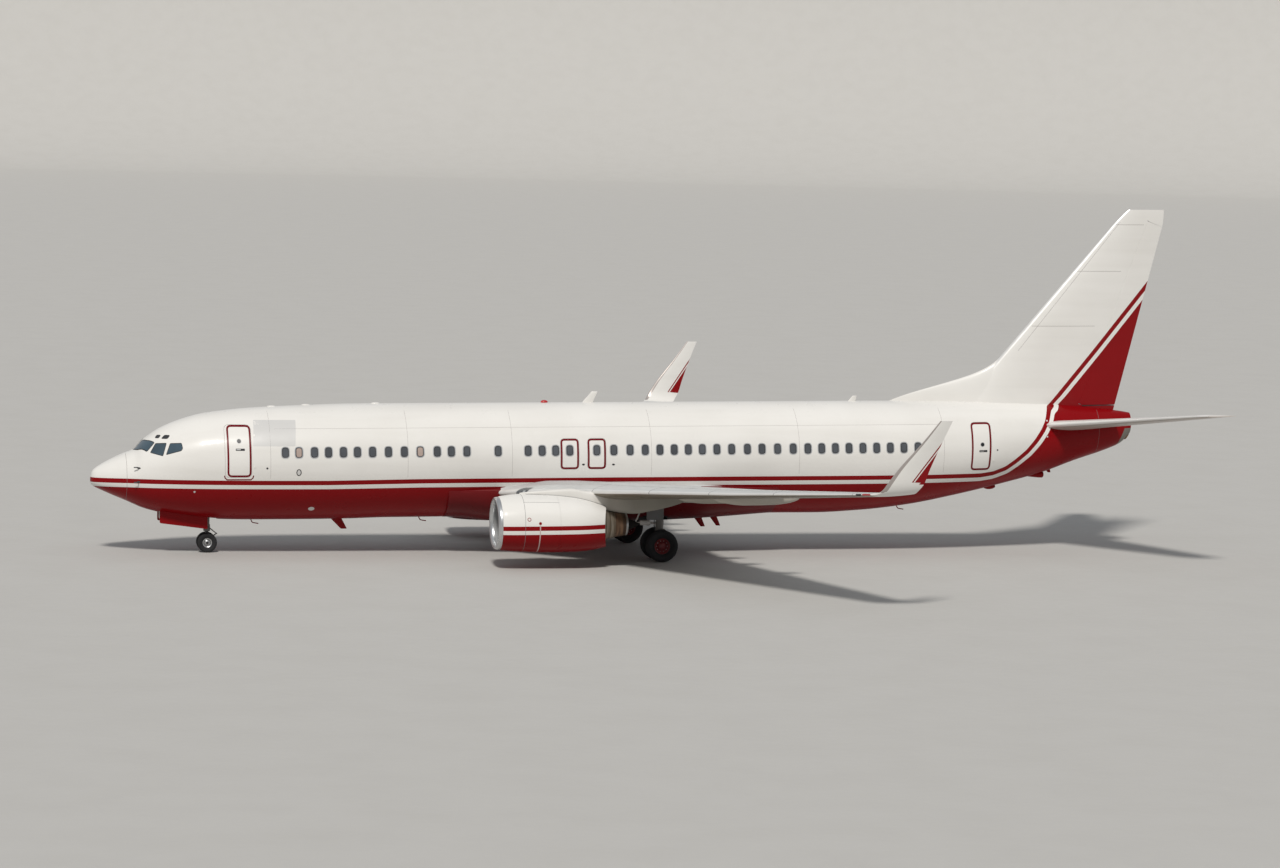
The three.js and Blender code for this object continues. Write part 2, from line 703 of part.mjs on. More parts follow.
// A pair of links that keeps the piston in line, joined at a knee behind or ahead of the leg
function torqueLinks(x, y, upper, lower, reach, thickness) {
  const knee = at(x + reach, y, (upper + lower) / 2);
  return union([
    rod(at(x, y, upper), knee, thickness, 8),
    rod(knee, at(x, y, lower), thickness, 8),
  ]);
}
function mainLeg(side, above) {
  const y = side * MAIN.y;
  const leg = union([
    rod(at(MAIN.x, y, MAIN_LEG.split), at(MAIN.x, y, MAIN_LEG.top), MAIN_LEG.cylinder),
    rod(at(MAIN.x, y, MAIN.tyre), at(MAIN.x, y, MAIN_LEG.split + 50), MAIN_LEG.piston),
    rod(at(MAIN.x, y - 160, MAIN.tyre), at(MAIN.x, y + 160, MAIN.tyre), MAIN_LEG.bearing),
    torqueLinks(MAIN.x, y, MAIN_LEG.split + 90, MAIN.tyre + 110, 330, 34),
    mainLegDoor(side),
  ]);
  const bore = bearingHole(at(MAIN.x, y - 400, MAIN.tyre), at(MAIN.x, y + 400, MAIN.tyre), MAIN.axle);
  return leg.subtract(bore).subtract(above);
}
// The door on the outer face of the leg rides on it and covers it when it is up
function mainLegDoor(side) {
  const y = side * (MAIN.y + MAIN_LEG.cylinder - 20);
  return box(at(MAIN.x - 500, y, 1450), at(MAIN.x + 110, y + side * 45, 2150));
}
function mainSideStrut(side, above) {
  const y = side * MAIN.y;
  const leg = rod(at(MAIN.x, y, 900), at(MAIN.x, y, 2600), MAIN_LEG.cylinder + SEAM);
  const strut = rod(at(MAIN.x, y, 1270), at(MAIN.x, side * 1500, 1900), 62, 12);
  return strut.subtract(leg).subtract(above);
}
function noseSteering() {
  const collarFoot = NOSE_LEG.split - 40;
  const parts = union([
    rod(at(NOSE.x, 0, NOSE.tyre), at(NOSE.x, 0, NOSE_LEG.split - SEAM), NOSE_LEG.piston),
    rod(at(NOSE.x, 0, collarFoot - 130), at(NOSE.x, 0, NOSE_LEG.split - SEAM), NOSE_LEG.collar),
    rod(at(NOSE.x, -75, NOSE.tyre), at(NOSE.x, 75, NOSE.tyre), NOSE_LEG.bearing),
    torqueLinks(NOSE.x, 0, collarFoot - 60, NOSE.tyre + 90, 260, 24),
  ]);
  const bore = bearingHole(at(NOSE.x, -200, NOSE.tyre), at(NOSE.x, 200, NOSE.tyre), NOSE.axle);
  return parts.subtract(bore);
}
function noseLeg(above) {
  return union([
    rod(at(NOSE.x, 0, NOSE_LEG.split), at(NOSE.x, 0, NOSE_LEG.top + 600), NOSE_LEG.cylinder),
    rod(at(NOSE.x, 0, 1080), at(NOSE.x - 1050, 0, 1800), 48, 12),
  ]).subtract(above);
}
function noseBay(grow) {
  return box(
    vec(NOSE_BAY.from - grow, -NOSE_BAY.halfWidth - grow, -3000),
    vec(NOSE_BAY.to + grow, NOSE_BAY.halfWidth + grow, NOSE_BAY.roof + grow),
  );
}
function noseDoor(side, belly) {
  const outline = new THREE.Shape();
  outline.moveTo(NOSE_DOOR.from, -1700);
  outline.lineTo(NOSE_DOOR.from, -2210);
  outline.lineTo(NOSE_DOOR.to, NOSE_DOOR.foot);
  outline.lineTo(NOSE_DOOR.to, -1700);
  const inner = side * (NOSE_BAY.halfWidth + 20);
  const outer = inner + side * NOSE_DOOR.thickness;
  return sideways(outline, Math.min(inner, outer), Math.max(inner, outer)).subtract(belly);
}

function add(name, body, colour) {
  const mesh = new THREE.Mesh(geometryOf(body), new THREE.MeshStandardMaterial(COLOURS[colour]));
  mesh.geometry.computeVertexNormals();
  mesh.name = name;
  aircraft.add(mesh);
}
const pair = (name, body, colour) => {
  add(name + "_right", body, colour);
  add(name + "_left", mirrored(body), colour);
};

// Build the fuselage with its doors
const HULL_END = hullTable.at(-1).x;
const fairingNotch = box(
  vec(fairingTable[0].x - SEAM, -3000, -3000),
  vec(fairingTable.at(-1).x + SEAM, 3000, FAIRING_TOP),
);
let fuselage = hull(RADOME_SEAM + SEAM, TAIL_CONE_SEAM).subtract(fairingNotch).subtract(noseBay(0));
for (const row of table(DOOR_COLUMNS, DOOR_ROWS)) {
  add(row.name, doorPlug(row, DOOR_CORNER, 0, 0), "white");
  fuselage = fuselage.subtract(doorPlug(row, DOOR_CORNER, SEAM, SEAM));
}
for (const row of table(DOOR_COLUMNS, EXIT_ROWS)) {
  const behindHead = { ...row, sill: row.head - EXIT_ROOM.height };
  add(row.name, doorPlug(row, EXIT_CORNER, 0, 0), "white");
  fuselage = fuselage
    .subtract(doorPlug(row, EXIT_CORNER, RUNNING, SEAM))
    .subtract(doorPlug(behindHead, 0, RUNNING, EXIT_ROOM.behind).intersect(exitPocket(row)));
}
fuselage = fuselage.add(jackPad(NOSE_JACK_PAD));
const belly = hull(1500, 8000, SEAM);
const wells = [-1, 1].map((side) => {
  const y = side * WELL.y;
  return rod(vec(WELL.x, y, -3000), vec(WELL.x, y, WELL.roof), WELL.radius, 24);
});
add("fuselage", fuselage, "white");
add("radome", hull(HULL_ROWS[0][0], RADOME_SEAM), "white");
add("belly_fairing", fairing().subtract(union(wells)), "red");
const exhaust = rod(
  vec(HULL_END - 50, 0, EXHAUST_PIPE.z),
  vec(HULL_END + EXHAUST_PIPE.length, 0, EXHAUST_PIPE.z),
  EXHAUST_PIPE.radius,
  20,
);
add("tail_cone", hull(TAIL_CONE_SEAM + SEAM, HULL_END).add(exhaust), "red");

// Build the wings and what they carry, starboard first
const fuselageCut = hull(10400, 27800, SEAM);
const fairingCut = fairing(SEAM);
const wholeWing = wingPanel(wingTable);
const wingGrown = wingPanel(wingTable, SEAM);
const level = vec(0, 0, 1);
const wingRoom = (line, ahead, around) => roomBehind(hingeEnds(wingTable, line), level, ahead, around);
const exposedWing = wholeWing.subtract(fuselageCut).subtract(fairingCut);
const aileronGap = hingeGap(HALF_DEPTH.aileron, SWING.aileron);
const flapRooms = wingRoom(OUTER_FLAP, SEAM, SEAM).add(wingRoom(INNER_FLAP, SEAM, SEAM));
pair("aileron", exposedWing.intersect(wingRoom(AILERON, 0, 0)), "grey");
pair("flap_outer", exposedWing.intersect(wingRoom(OUTER_FLAP, 0, 0)), "grey");
pair("flap_inner", exposedWing.intersect(wingRoom(INNER_FLAP, 0, 0)), "grey");
const canoes = union(CANOE_PLACES.map(canoe)).subtract(wingGrown.intersect(flapRooms));
const aileronPins = hingePins(hingeEnds(wingTable, AILERON)).subtract(wingRoom(AILERON, PIN_ROOM, SEAM));
const wing = exposedWing
  .subtract(flapRooms)
  .subtract(wingRoom(AILERON, aileronGap, RUNNING))
  .add(canoes)
  .add(aileronPins)
  .add(jackPad(WING_JACK_PAD));
pair("wing", wing, "grey");
pair("winglet", winglet(), "white");

// Build the engines
const inside = duct();
const core = engineCore();
pair("inlet_lip", nacelle(NACELLE_ROWS[0][0], LIP_SEAM).subtract(inside), "metal");
pair("fan_cowl", nacelle(LIP_SEAM + SEAM, SLEEVE_SEAM).subtract(inside), "white");
pair("reverser_sleeve", nacelle(SLEEVE_SEAM + SEAM, NACELLE_END).subtract(inside), "white");
pair("fan", fanRotor(), "dark");
pair("engine_core", core, "bronze");
const coreCut = alongX(CORE_PROFILE.map(([x, r]) => [x, r && r + SEAM]), CORE_Z, 24);
const pylon = pylonBody()
  .subtract(nacelle(NACELLE_ROWS[0][0], NACELLE_END, SEAM))
  .subtract(nacelle(NACELLE_ROWS[0][0], NACELLE_END, -3 * SEAM, 2 * SEAM))
  .subtract(wingGrown)
  .subtract(coreCut);
pair("pylon", pylon, "white");

// Build the tail
const tailCut = hull(27800, TAIL_CONE_SEAM, SEAM).add(hull(TAIL_CONE_SEAM - 10, HULL_END, SEAM));
const rudderLine = [RUDDER.from, RUDDER.to].map(({ x, z }) => vec(x, 0, z));
// Below the hinge line's foot the rudder runs down square to its level foot
function rudderRoom(ahead, around) {
  const { reach, rise, lean } = RUDDER_FOOTING;
  const footing = new THREE.Shape(
    [
      [RUDDER.from.x - ahead, RUDDER.from.z - around],
      [RUDDER.from.x + reach, RUDDER.from.z - around],
      [RUDDER.from.x + reach, RUDDER.from.z + rise],
      [RUDDER.from.x + lean - ahead, RUDDER.from.z + rise],
    ].map(([x, z]) => new THREE.Vector2(x, z)),
  );
  return roomBehind(rudderLine, vec(0, -1, 0), ahead, around).add(sideways(footing, -500, 500));
}
const aboveFoot = box(vec(30000, -600, RUDDER.from.z), vec(42000, 600, 12000));
const wholeFin = finBody();
add("rudder", wholeFin.intersect(rudderRoom(0, 0)).intersect(aboveFoot), "red");
const rudderGap = hingeGap(HALF_DEPTH.rudder, SWING.rudder);
const fin = wholeFin.subtract(tailCut).subtract(rudderRoom(rudderGap, RUNNING));
const rudderPins = hingePins(rudderLine);
add("fin", fin.add(rudderPins).subtract(tailCut), "white");
add("dorsal_fin", dorsalBody().subtract(finBody(SEAM)).subtract(tailCut), "white");
const wholeStabiliser = wingPanel(stabiliserTable);
const elevatorLine = hingeEnds(stabiliserTable, ELEVATOR);
const elevatorRoom = (ahead, around) => roomBehind(elevatorLine, level, ahead, around);
const elevatorGap = hingeGap(HALF_DEPTH.elevator, SWING.elevator);
pair("elevator", wholeStabiliser.intersect(elevatorRoom(0, 0)), "grey");
const fixedStabiliser = wholeStabiliser.subtract(tailCut).subtract(elevatorRoom(elevatorGap, RUNNING));
const elevatorPins = hingePins(elevatorLine).subtract(elevatorRoom(PIN_ROOM, SEAM));
pair("stabiliser", fixedStabiliser.add(elevatorPins), "grey");

// Build the gear
const overhead = wingGrown.add(fairing(SEAM));
for (const [side, hand] of [
  [-1, "left"],
  [1, "right"],
]) {
  const above = side > 0 ? overhead : mirrored(overhead);
  add("main_leg_" + hand, mainLeg(side, above), "strut");
  add("main_side_strut_" + hand, mainSideStrut(side, above), "strut");
  add("main_wheels_" + hand, wheelSet(MAIN, side), "red");
  add("main_tyre_inner_" + hand, tyre(MAIN, side * (MAIN.y - MAIN.spread)), "rubber");
  add("main_tyre_outer_" + hand, tyre(MAIN, side * (MAIN.y + MAIN.spread)), "rubber");
  add("nose_tyre_" + hand, tyre(NOSE, side * NOSE.spread), "rubber");
  add("nose_door_" + hand, noseDoor(side, belly), "red");
}
const bayWalls = belly.subtract(noseBay(-SEAM));
add("nose_leg", noseLeg(bayWalls), "strut");
add("nose_steering", noseSteering(), "strut");
add("nose_wheels", wheelSet(NOSE, 1), "metal");

export default aircraft;
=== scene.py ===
import math

import bmesh
import bpy
import numpy as np
from mathutils import Matrix, Vector


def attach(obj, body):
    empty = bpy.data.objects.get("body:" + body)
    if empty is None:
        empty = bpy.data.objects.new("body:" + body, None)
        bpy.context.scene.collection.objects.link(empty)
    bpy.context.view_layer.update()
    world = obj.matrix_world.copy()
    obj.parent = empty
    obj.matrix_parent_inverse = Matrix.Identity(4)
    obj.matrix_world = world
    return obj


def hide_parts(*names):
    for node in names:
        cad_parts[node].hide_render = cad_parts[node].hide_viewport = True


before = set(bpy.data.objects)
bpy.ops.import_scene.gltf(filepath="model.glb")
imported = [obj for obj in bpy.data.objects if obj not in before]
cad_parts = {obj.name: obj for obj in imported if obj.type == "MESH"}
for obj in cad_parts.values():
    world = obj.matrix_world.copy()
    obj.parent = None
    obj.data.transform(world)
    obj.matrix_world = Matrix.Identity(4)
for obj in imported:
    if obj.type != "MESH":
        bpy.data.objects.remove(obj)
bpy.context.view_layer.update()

# Camera, from the photograph's ground contacts, nose, wing tips and fin tip
CAMERA = {"x": -30.811, "y": -138.841, "z": 17.045, "yaw": 12.446, "pitch": 5.162, "roll": 1.365}
FOCAL_PIXELS = 3990.0
PHOTO_WIDTH = 1280
SENSOR = 36.0

# Stance: slightly nose down about a point over the main gear
NOSE_DOWN = math.radians(0.631)
MID_X = 19.735
PIVOT = {"x": 19.8, "height": 3.462}
SHIFT_X = PIVOT["x"] * (1 - math.cos(NOSE_DOWN)) - MID_X
SHIFT_Z = PIVOT["height"] - PIVOT["x"] * math.sin(NOSE_DOWN)
STANCE = Matrix.Translation((SHIFT_X, 0, SHIFT_Z)) @ Matrix.Rotation(-NOSE_DOWN, 4, "Y")
GROUND = Matrix.Translation((-MID_X, 0, 0))  # for what is measured from the ground
HANDS = ((-1, "left"), (1, "right"))  # side and name: -1 is port

# Fuselage: x, half width, level of the greatest width, crown, keel
HULL_ROWS = [
    [0.02, 0.002, -0.71, -0.708, -0.712],
    [0.032, 0.11, -0.71, -0.58, -0.83],
    [0.09, 0.26, -0.71, -0.41, -0.9],
    [0.38, 0.52, -0.7, -0.18, -1.06],
    [0.75, 0.745, -0.67, 0.02, -1.23],
    [1.22, 0.98, -0.63, 0.23, -1.43],
    [1.52, 1.1, -0.6, 0.34, -1.57],
    [1.79, 1.195, -0.56, 0.63, -1.69],
    [2.15, 1.31, -0.5, 0.905, -1.8],
    [2.49, 1.395, -0.44, 1.11, -1.88],
    [3.19, 1.545, -0.34, 1.39, -1.99],
    [3.9, 1.66, -0.26, 1.58, -2.08],
    [4.62, 1.74, -0.19, 1.68, -2.135],
    [5.33, 1.795, -0.13, 1.75, -2.155],
    [6.33, 1.845, -0.07, 1.805, -2.165],
    [7.48, 1.872, -0.02, 1.85, -2.17],
    [8.93, 1.88, 0, 1.89, -2.165],
    [10.4, 1.88, 0, 1.895, -2.135],
    [24.5, 1.88, 0, 1.89, -2.13],
    [26, 1.88, 0, 1.89, -2.14],
    [27.8, 1.87, 0.02, 1.89, -2.06],
    [29.49, 1.815, 0.08, 1.885, -1.88],
    [31.19, 1.69, 0.19, 1.875, -1.57],
    [33.08, 1.43, 0.37, 1.845, -1.15],
    [34.6, 1.145, 0.53, 1.79, -0.76],
    [35.84, 0.87, 0.69, 1.7, -0.33],
    [36.9, 0.6, 0.83, 1.565, 0],
    [37.6, 0.4, 0.92, 1.47, 0.28],
    [37.95, 0.29, 0.99, 1.41, 0.62],
]
HULL_SIDES = 96
RADOME_SEAM = 1.22
TAIL_CONE_SEAM = 36.6
TAIL_CAP_SEAM = [(37.48, 0.3), (37.68, 0.86)]  # two points of the slanted end of the red
EXHAUST = {"x": 37.81, "z": 0.6}

# Livery: the upper edge of the red stripe, from the nose to the trailing edge of the fin
STRIPE_LINE = [
    (-0.1, -0.61),
    (1.24, -0.585),
    (5.58, -0.624),
    (8.13, -0.645),
    (11.42, -0.615),
    (18.42, -0.619),
    (29.8, -0.654),
    (31.9, -0.65),
    (32.4, -0.585),
    (32.85, -0.42),
    (33.23, -0.145),
    (33.63, 0.19),
    (33.97, 0.568),
    (34.23, 0.912),
    (34.41, 1.2),
    (34.54, 1.5),
    (34.64, 1.69),
    (34.8, 1.775),
    (36.47, 3.73),
    (38.38, 6.038),
    (39.4, 7.27),
]
STRIPE_WIDTH = 0.16
STRIPE_GAP = 0.147
STRIPE_RANGE = 0.6  # how far from the line the colours are told apart

# Doors: name, side, x from, x to, sill, head
DOOR_ROWS = [
    ["forward_entry_door", -1, 4.535, 5.44, -0.5, 1.275],
    ["forward_service_door", 1, 4.58, 5.35, -0.48, 1.2],
    ["aft_entry_door", -1, 31.455, 32.225, -0.52, 1.205],
    ["aft_service_door", 1, 31.455, 32.225, -0.52, 1.205],
]
DOOR_CORNER = 0.17
DOOR_POCKET, DOOR_DEPTH = 0.06, 0.055  # how deep the opening and the door in it are
EXIT_ROWS = [
    ["overwing_exit_left_1", -1, 16.32, 16.98, -0.31, 0.76],
    ["overwing_exit_left_2", -1, 17.29, 17.95, -0.31, 0.76],
    ["overwing_exit_right_1", 1, 16.32, 16.98, -0.31, 0.76],
    ["overwing_exit_right_2", 1, 17.29, 17.95, -0.31, 0.76],
]
EXIT_CORNER = 0.15
DOOR_GAP = 0.006
EXIT_GAP = 0.008
EXIT_POCKET, EXIT_DEPTH = 0.3, 0.09
DOOR_BAND = 0.064  # width of the red outline on doors and exits
OUTLINE_INSET = 0.006  # from a door's edge to its red outline
ENTRY_BAND = [4.61, 5.435, -0.494, 1.27]  # the forward entry door's outline
ENTRY_SILL = [(4.51, -0.44), (4.53, -0.52), (4.6, -0.585), (5.42, -0.585), (5.49, -0.52), (5.51, -0.44)]

# Cabin windows: the middle of each in x, all at one height
FORWARD_WINDOWS = [6.61, 7.08, 7.62, 8.11, 8.63, 9.12, 9.65, 10.21, 10.77, 11.33, 11.93, 12.43, 12.98]
AFT_WINDOWS = [15.16, 15.66, 16.145, 18.235, 18.82, 19.37, 19.9, 20.42, 20.93, 21.44, 21.97, 22.51, 23.085]
AFT_WINDOWS += [23.62, 24.19, 24.765, 25.305, 25.815, 26.32, 26.825, 27.34, 27.85, 28.36, 28.87, 29.4]
CABIN_WINDOWS = [*FORWARD_WINDOWS, 14.09, *AFT_WINDOWS]
BLINDS_DOWN = [(-1, 1), (-1, 9), (1, 20)]  # side, and which window from the front
WINDOW = {"z": 0.35, "width": 0.235, "height": 0.35, "corner": 0.1, "frame": 0.035}

# Wheel wells in the belly, and the bay of the nose gear
WELL = {"x": 19.8, "y": 0.95, "radius": 0.6, "roof": -1.6}
NOSE_BAY = {"from": 2.38, "to": 4.42, "half_width": 0.43, "roof": -1.52}

# Belly fairing: x, half width, keel, squareness, where its upper edge meets the hull
FAIRING_LEVEL = -1.05
FAIRING_ROWS = [
    [12.4, 1.632, -2.133, 2, -1.06],
    [12.9, 1.655, -2.15, 2, -1.05],
    [14, 1.8, -2.27, 2.2, -0.99],
    [15.6, 1.96, -2.31, 2.5, -0.9],
    [19.6, 1.98, -2.32, 2.6, -0.9],
    [21.6, 1.88, -2.27, 2.4, -0.96],
    [24.3, 1.632, -2.122, 2, -1.06],
]
# Fillet between the hull and the top of the wing: x, its upper edge on the hull, its width on the wing
FILLET_ROWS = [
    [14.35, -1.2, 0.06],
    [14.63, -1.04, 0.2],
    [15.2, -0.83, 0.32],
    [15.93, -0.715, 0.4],
    [16.8, -0.727, 0.42],
    [17.5, -0.81, 0.42],
    [18.5, -0.87, 0.42],
    [19.5, -0.9, 0.4],
    [20.5, -0.915, 0.38],
    [21.3, -0.925, 0.3],
    [22.1, -0.965, 0.14],
    [22.6, -1.05, 0.06],
    [22.95, -1.2, 0.03],
]

# Wing: y, nose, tail, level, how far the trailing edge lies lower, thickness
WING_ROWS = [
    [1.2, 13.6, 21.5, -1.16, -0.06, 0.088],
    [1.9, 14.2, 21.5, -1.11, -0.06, 0.088],
    [4.6, 16.63, 21.6, -0.81, 0.02, 0.12],
    [5.8, 17.27, 21.7, -0.705, 0.01, 0.115],
    [11.2, 20.16, 23.08, -0.23, 0.02, 0.105],
    [17.15, 23.345, 24.62, 0.37, 0.01, 0.1],
]
# Winglet: y, level, nose, tail, cant in degrees, thickness
WINGLET_ROWS = [
    [17.1504, 0.37, 23.345, 24.62, 0, 0.1],
    [17.33, 0.405, 23.49, 24.74, 25, 0.1],
    [17.48, 0.54, 23.64, 24.85, 52, 0.1],
    [17.565, 0.76, 23.78, 24.99, 70, 0.095],
    [17.64, 1.25, 24.13, 25.16, 79, 0.09],
    [17.78, 2.1, 24.86, 25.5, 81, 0.085],
    [17.88, 2.78, 25.39, 25.8, 81, 0.08],
]
WINGLET_STRIPE = [(24.62, 0.886), (25.68, 2.346)]
WINGLET_STRIPE_SCALE = 3.8
BLUNT_EDGE = 0.012
AILERON = [(22.83, 12.9), (23.905, 16.35)]  # hinge line: x and y at both ends
OUTER_FLAP = [(20.56, 5.75), (22.69, 12.7)]
INNER_FLAP = [(19.95, 2.2), (20.15, 4.7)]
CANOE = {"length": 3.1, "overhang": 0.72, "half_width": 0.19, "depth": 0.33}
CANOE_PLACES = [4.25, 6.1, 8.8]
SLAT_BREAKS = [4.95, 7.6, 10.3, 13.1, 16.4]
SPOILER_BREAKS = [5.9, 7.3, 8.6, 9.9, 11.2, 12.5]
UNDERSIDE_BREAKS = [*SPOILER_BREAKS, 13.8, 15.1]

# Fin: level, nose, tail, thickness
FIN_ROWS = [
    [1.5, 31.24, 37.34, 0.11],
    [3.6, 33.07, 37.88, 0.11],
    [8.35, 37.22, 39.09, 0.095],
    [8.7, 37.57, 39.11, 0.08],
    [8.85, 37.76, 39.11, 0.06],
]
RUDDER = [(35.98, 1.76), (36.672, 3.6), (38.49, 8.43)]  # hinge line: x and level
RUDDER_DROP = 0.055  # how far the foot of the rudder lies below the hinge's lower end
ROOT_DROP = 0.038  # how far the top of the fixed root lies below that foot
FIN_SEAMS = [4.6, 6.6, 8.3]
# Dorsal fin: level, nose, tail, half width at the tail, sharpness
DORSAL_ROWS = [
    [1.7, 28.5, 33.3, 0.315, 1.7],
    [1.89, 28.8, 33.4, 0.31, 1.7],
    [2.89, 32.04, 33.9, 0.275, 1.1],
    [3.25, 32.72, 34.0, 0.25, 1],
    [3.64, 33.13, 34.2, 0.235, 1],
]
# Stabiliser: the same columns as the wing
STABILISER_ROWS = [
    [0.5, 34.12, 37.29, 0.972, 0, 0.12],
    [1.2, 34.54, 37.51, 1.07, 0, 0.115],
    [7, 38.02, 39.3, 1.876, 0, 0.09],
    [7.175, 38.32, 39.38, 1.9, 0, 0.07],
]
ELEVATOR = [(36.7, 1.15), (38.99, 6.9)]
STABILISER_SEAMS = [2.4, 3.9, 5.4]
WING_WICKS, STABILISER_WICKS = [13.4, 14.4, 15.4, 16.2], [5.2, 6.0, 6.7]
SURFACE_GAP = 0.006
RUNNING_GAP = 0.008

# Engine: x, half width, crown, keel of the nacelle, and x, radius, level of the duct inside it
ENGINE_Y = 4.83
NACELLE_LEVEL = -1.85
NACELLE_ROWS = [
    [13.42, 0.89, -1.02, -2.68],
    [13.48, 0.96, -0.975, -2.725],
    [13.68, 1.035, -0.9, -2.765],
    [14.3, 1.085, -0.842, -2.82],
    [15.3, 1.095, -0.862, -2.855],
    [16.1, 1.06, -0.935, -2.85],
    [16.7, 0.95, -1.06, -2.81],
    [17.32, 0.765, -1.265, -2.7],
]
DUCT_ROWS = [
    [13.4, 0.86, -1.85],
    [13.49, 0.8, -1.85],
    [13.68, 0.772, -1.85],
    [14.3, 0.775, -1.86],
    [14.7, 0.79, -1.87],
    [15.6, 0.85, -1.89],
    [16.5, 0.82, -1.93],
    [17.34, 0.69, -1.98],
]
# Stations along the nacelle: joints, its end, where its sides begin to be raked, and a faded band
LIP_SEAM = 13.57
SLEEVE_SEAM = 15.56
NACELLE_END = 17.32
RAKE_START = 16.5
COWL_SEAM = 14.33
COWL_BAND = 14.84
SLEEVE_RAKE = 0.155  # the sides of the sleeve end this much further forward
NACELLE_STRIPE = {"level": -1.845, "scale": 1.05}
FAN = {"x": 14.48, "z": -1.862, "hub": 0.24, "tip": 0.764, "depth": 0.19, "blades": 24, "nose": 0.48}
CORE_Z = -1.93
GUIDE_VANE_Z = -1.88
STRAKE = [(14.45, 0.0), (14.6, 0.05), (15.2, 0.21), (15.32, 0.2), (15.36, 0.0)]  # x and height over the cowl
# Core and nozzle profiles: x and radius
CORE_COWL = [(14.6, 0.06), (14.66, 0.235), (14.9, 0.4), (15.6, 0.59), (16.6, 0.59), (17.28, 0.505)]
COLLAR = [(17.25, 0.5), (17.275, 0.522), (17.35, 0.5), (17.5, 0.468), (17.51, 0.48), (17.6, 0.466)]
COLLAR += [(17.61, 0.442), (17.61, 0.4), (17.25, 0.42)]
NOZZLE = [(17.605, 0.4), (17.605, 0.445), (18.0, 0.385), (18.01, 0.375), (17.85, 0.36), (17.61, 0.38)]
NOZZLE_RIM = [(18.0, 0.37), (18.0, 0.389), (18.06, 0.38), (18.072, 0.372), (18.06, 0.362), (18.01, 0.362)]
PLUG = [(17.4, 0.3), (17.8, 0.262), (18.0, 0.245), (18.16, 0.2), (18.32, 0.13), (18.46, 0.06), (18.56, 0.02)]
PYLON_ROWS = [  # x, half width, foot, head
    [14.3, 0.04, -0.9, -0.8],
    [15, 0.12, -0.95, -0.735],
    [16.1, 0.175, -1.1, -0.67],
    [16.7, 0.18, -1.2, -0.77],
    [17.3, 0.185, -1.43, -0.78],
    [18.3, 0.17, -1.57, -0.76],
    [18.95, 0.12, -1.48, -0.8],
    [19.9, 0.05, -1.26, -0.85],
    [20.4, 0.02, -1.0, -0.88],
]

# Landing gear, measured from the ground
MAIN = {"x": 19.71, "y": 2.86, "tyre": 0.565, "width": 0.42, "spread": 0.43, "rim": 0.265, "axle": 0.062}
NOSE = {"x": 4.11, "y": 0.0, "tyre": 0.343, "width": 0.2, "spread": 0.205, "rim": 0.155, "axle": 0.036}
MAIN_LEG = {"cylinder": 0.135, "piston": 0.09, "split": 1.05, "top": 2.35}
NOSE_LEG = {"cylinder": 0.095, "piston": 0.06, "split": 0.9, "top": 1.85}
NOSE_DOOR = {"from": 2.395, "to": 4.06, "foot": -2.44, "thickness": 0.028}


# Numbers and curves
def smooth_curve(xs, ys):
    """A monotone cubic through points, as a function of x."""
    xs, ys = np.asarray(xs, float), np.asarray(ys, float)
    step = np.diff(xs)
    slope = np.diff(ys) / step
    bend = np.zeros_like(ys)
    for i in range(1, len(xs) - 1):
        if slope[i - 1] * slope[i] > 0:
            before = step[i] + 2 * step[i - 1]
            after = 2 * step[i] + step[i - 1]
            bend[i] = (before + after) / (before / slope[i - 1] + after / slope[i])
    bend[0], bend[-1] = slope[0], slope[-1]

    def at(x):
        i = np.clip(np.searchsorted(xs, x, "right") - 1, 0, len(xs) - 2)
        t = (np.asarray(x, float) - xs[i]) / step[i]
        rise = ys[i] * (1 + 2 * t) * (1 - t) ** 2 + ys[i + 1] * t * t * (3 - 2 * t)
        return rise + step[i] * (bend[i] * t * (1 - t) ** 2 + bend[i + 1] * t * t * (t - 1))

    return at


def columns(rows, straight=False, scale=lambda x: x):
    """One function for each column after the first, over the first."""
    rows = np.array(rows, float)
    keys = scale(rows[:, 0])
    if straight:
        return [lambda x, c=c: np.interp(scale(np.asarray(x, float)), keys, c) for c in rows.T[1:]]
    made = [smooth_curve(keys, c) for c in rows.T[1:]]
    return [lambda x, f=f: f(scale(np.asarray(x, float))) for f in made]


def unit(vectors):
    return vectors / np.linalg.norm(vectors, axis=-1, keepdims=True)


def points_of(*parts):
    """Columns of x, y and z as points."""
    return np.stack(np.broadcast_arrays(*parts), axis=-1).astype(float)


def around(sides, shift=0.0):
    """Equal steps round a full turn."""
    return 2 * np.pi * (np.arange(sides) + shift) / sides


def circle(sides, shift=0.0):
    return np.cos(around(sides, shift)), np.sin(around(sides, shift))


def curved(start, corner, end, t):
    """A curve from start to end that is drawn towards the corner."""
    return (1 - t) ** 2 * start + 2 * t * (1 - t) * corner + t * t * end


def signed_power(value, power):
    return np.sign(value) * np.abs(value) ** power


def at_place(rows, key, *picked):
    """The picked columns of a table at places along its first one."""
    table = np.array(rows).T
    return [np.interp(key, table[0], table[k]) for k in picked]


def stations_of(rows, count):
    """Equal steps over the first column of a table."""
    return np.linspace(rows[0][0], rows[-1][0], count)


# Shapes are pairs of points and faces
def loft(rings, loop=False, ends=True):
    """Faces through rings of equally many points. Loop joins the last ring to the first."""
    rings = np.asarray(rings, float)
    count, sides = rings.shape[:2]
    faces = []
    for r in range(count if loop else count - 1):
        a, b = r * sides, (r + 1) % count * sides
        for i in range(sides):
            j = (i + 1) % sides
            faces.append((a + i, a + j, b + j, b + i))
    if ends and not loop:
        faces += [tuple(reversed(range(sides))), tuple(range((count - 1) * sides, count * sides))]
    return rings.reshape(-1, 3), faces


def joined(*shapes):
    points, faces, first = [], [], 0
    for shape_points, shape_faces in shapes:
        points.append(shape_points)
        faces += [tuple(i + first for i in face) for face in shape_faces]
        first += len(shape_points)
    return np.vstack(points), faces


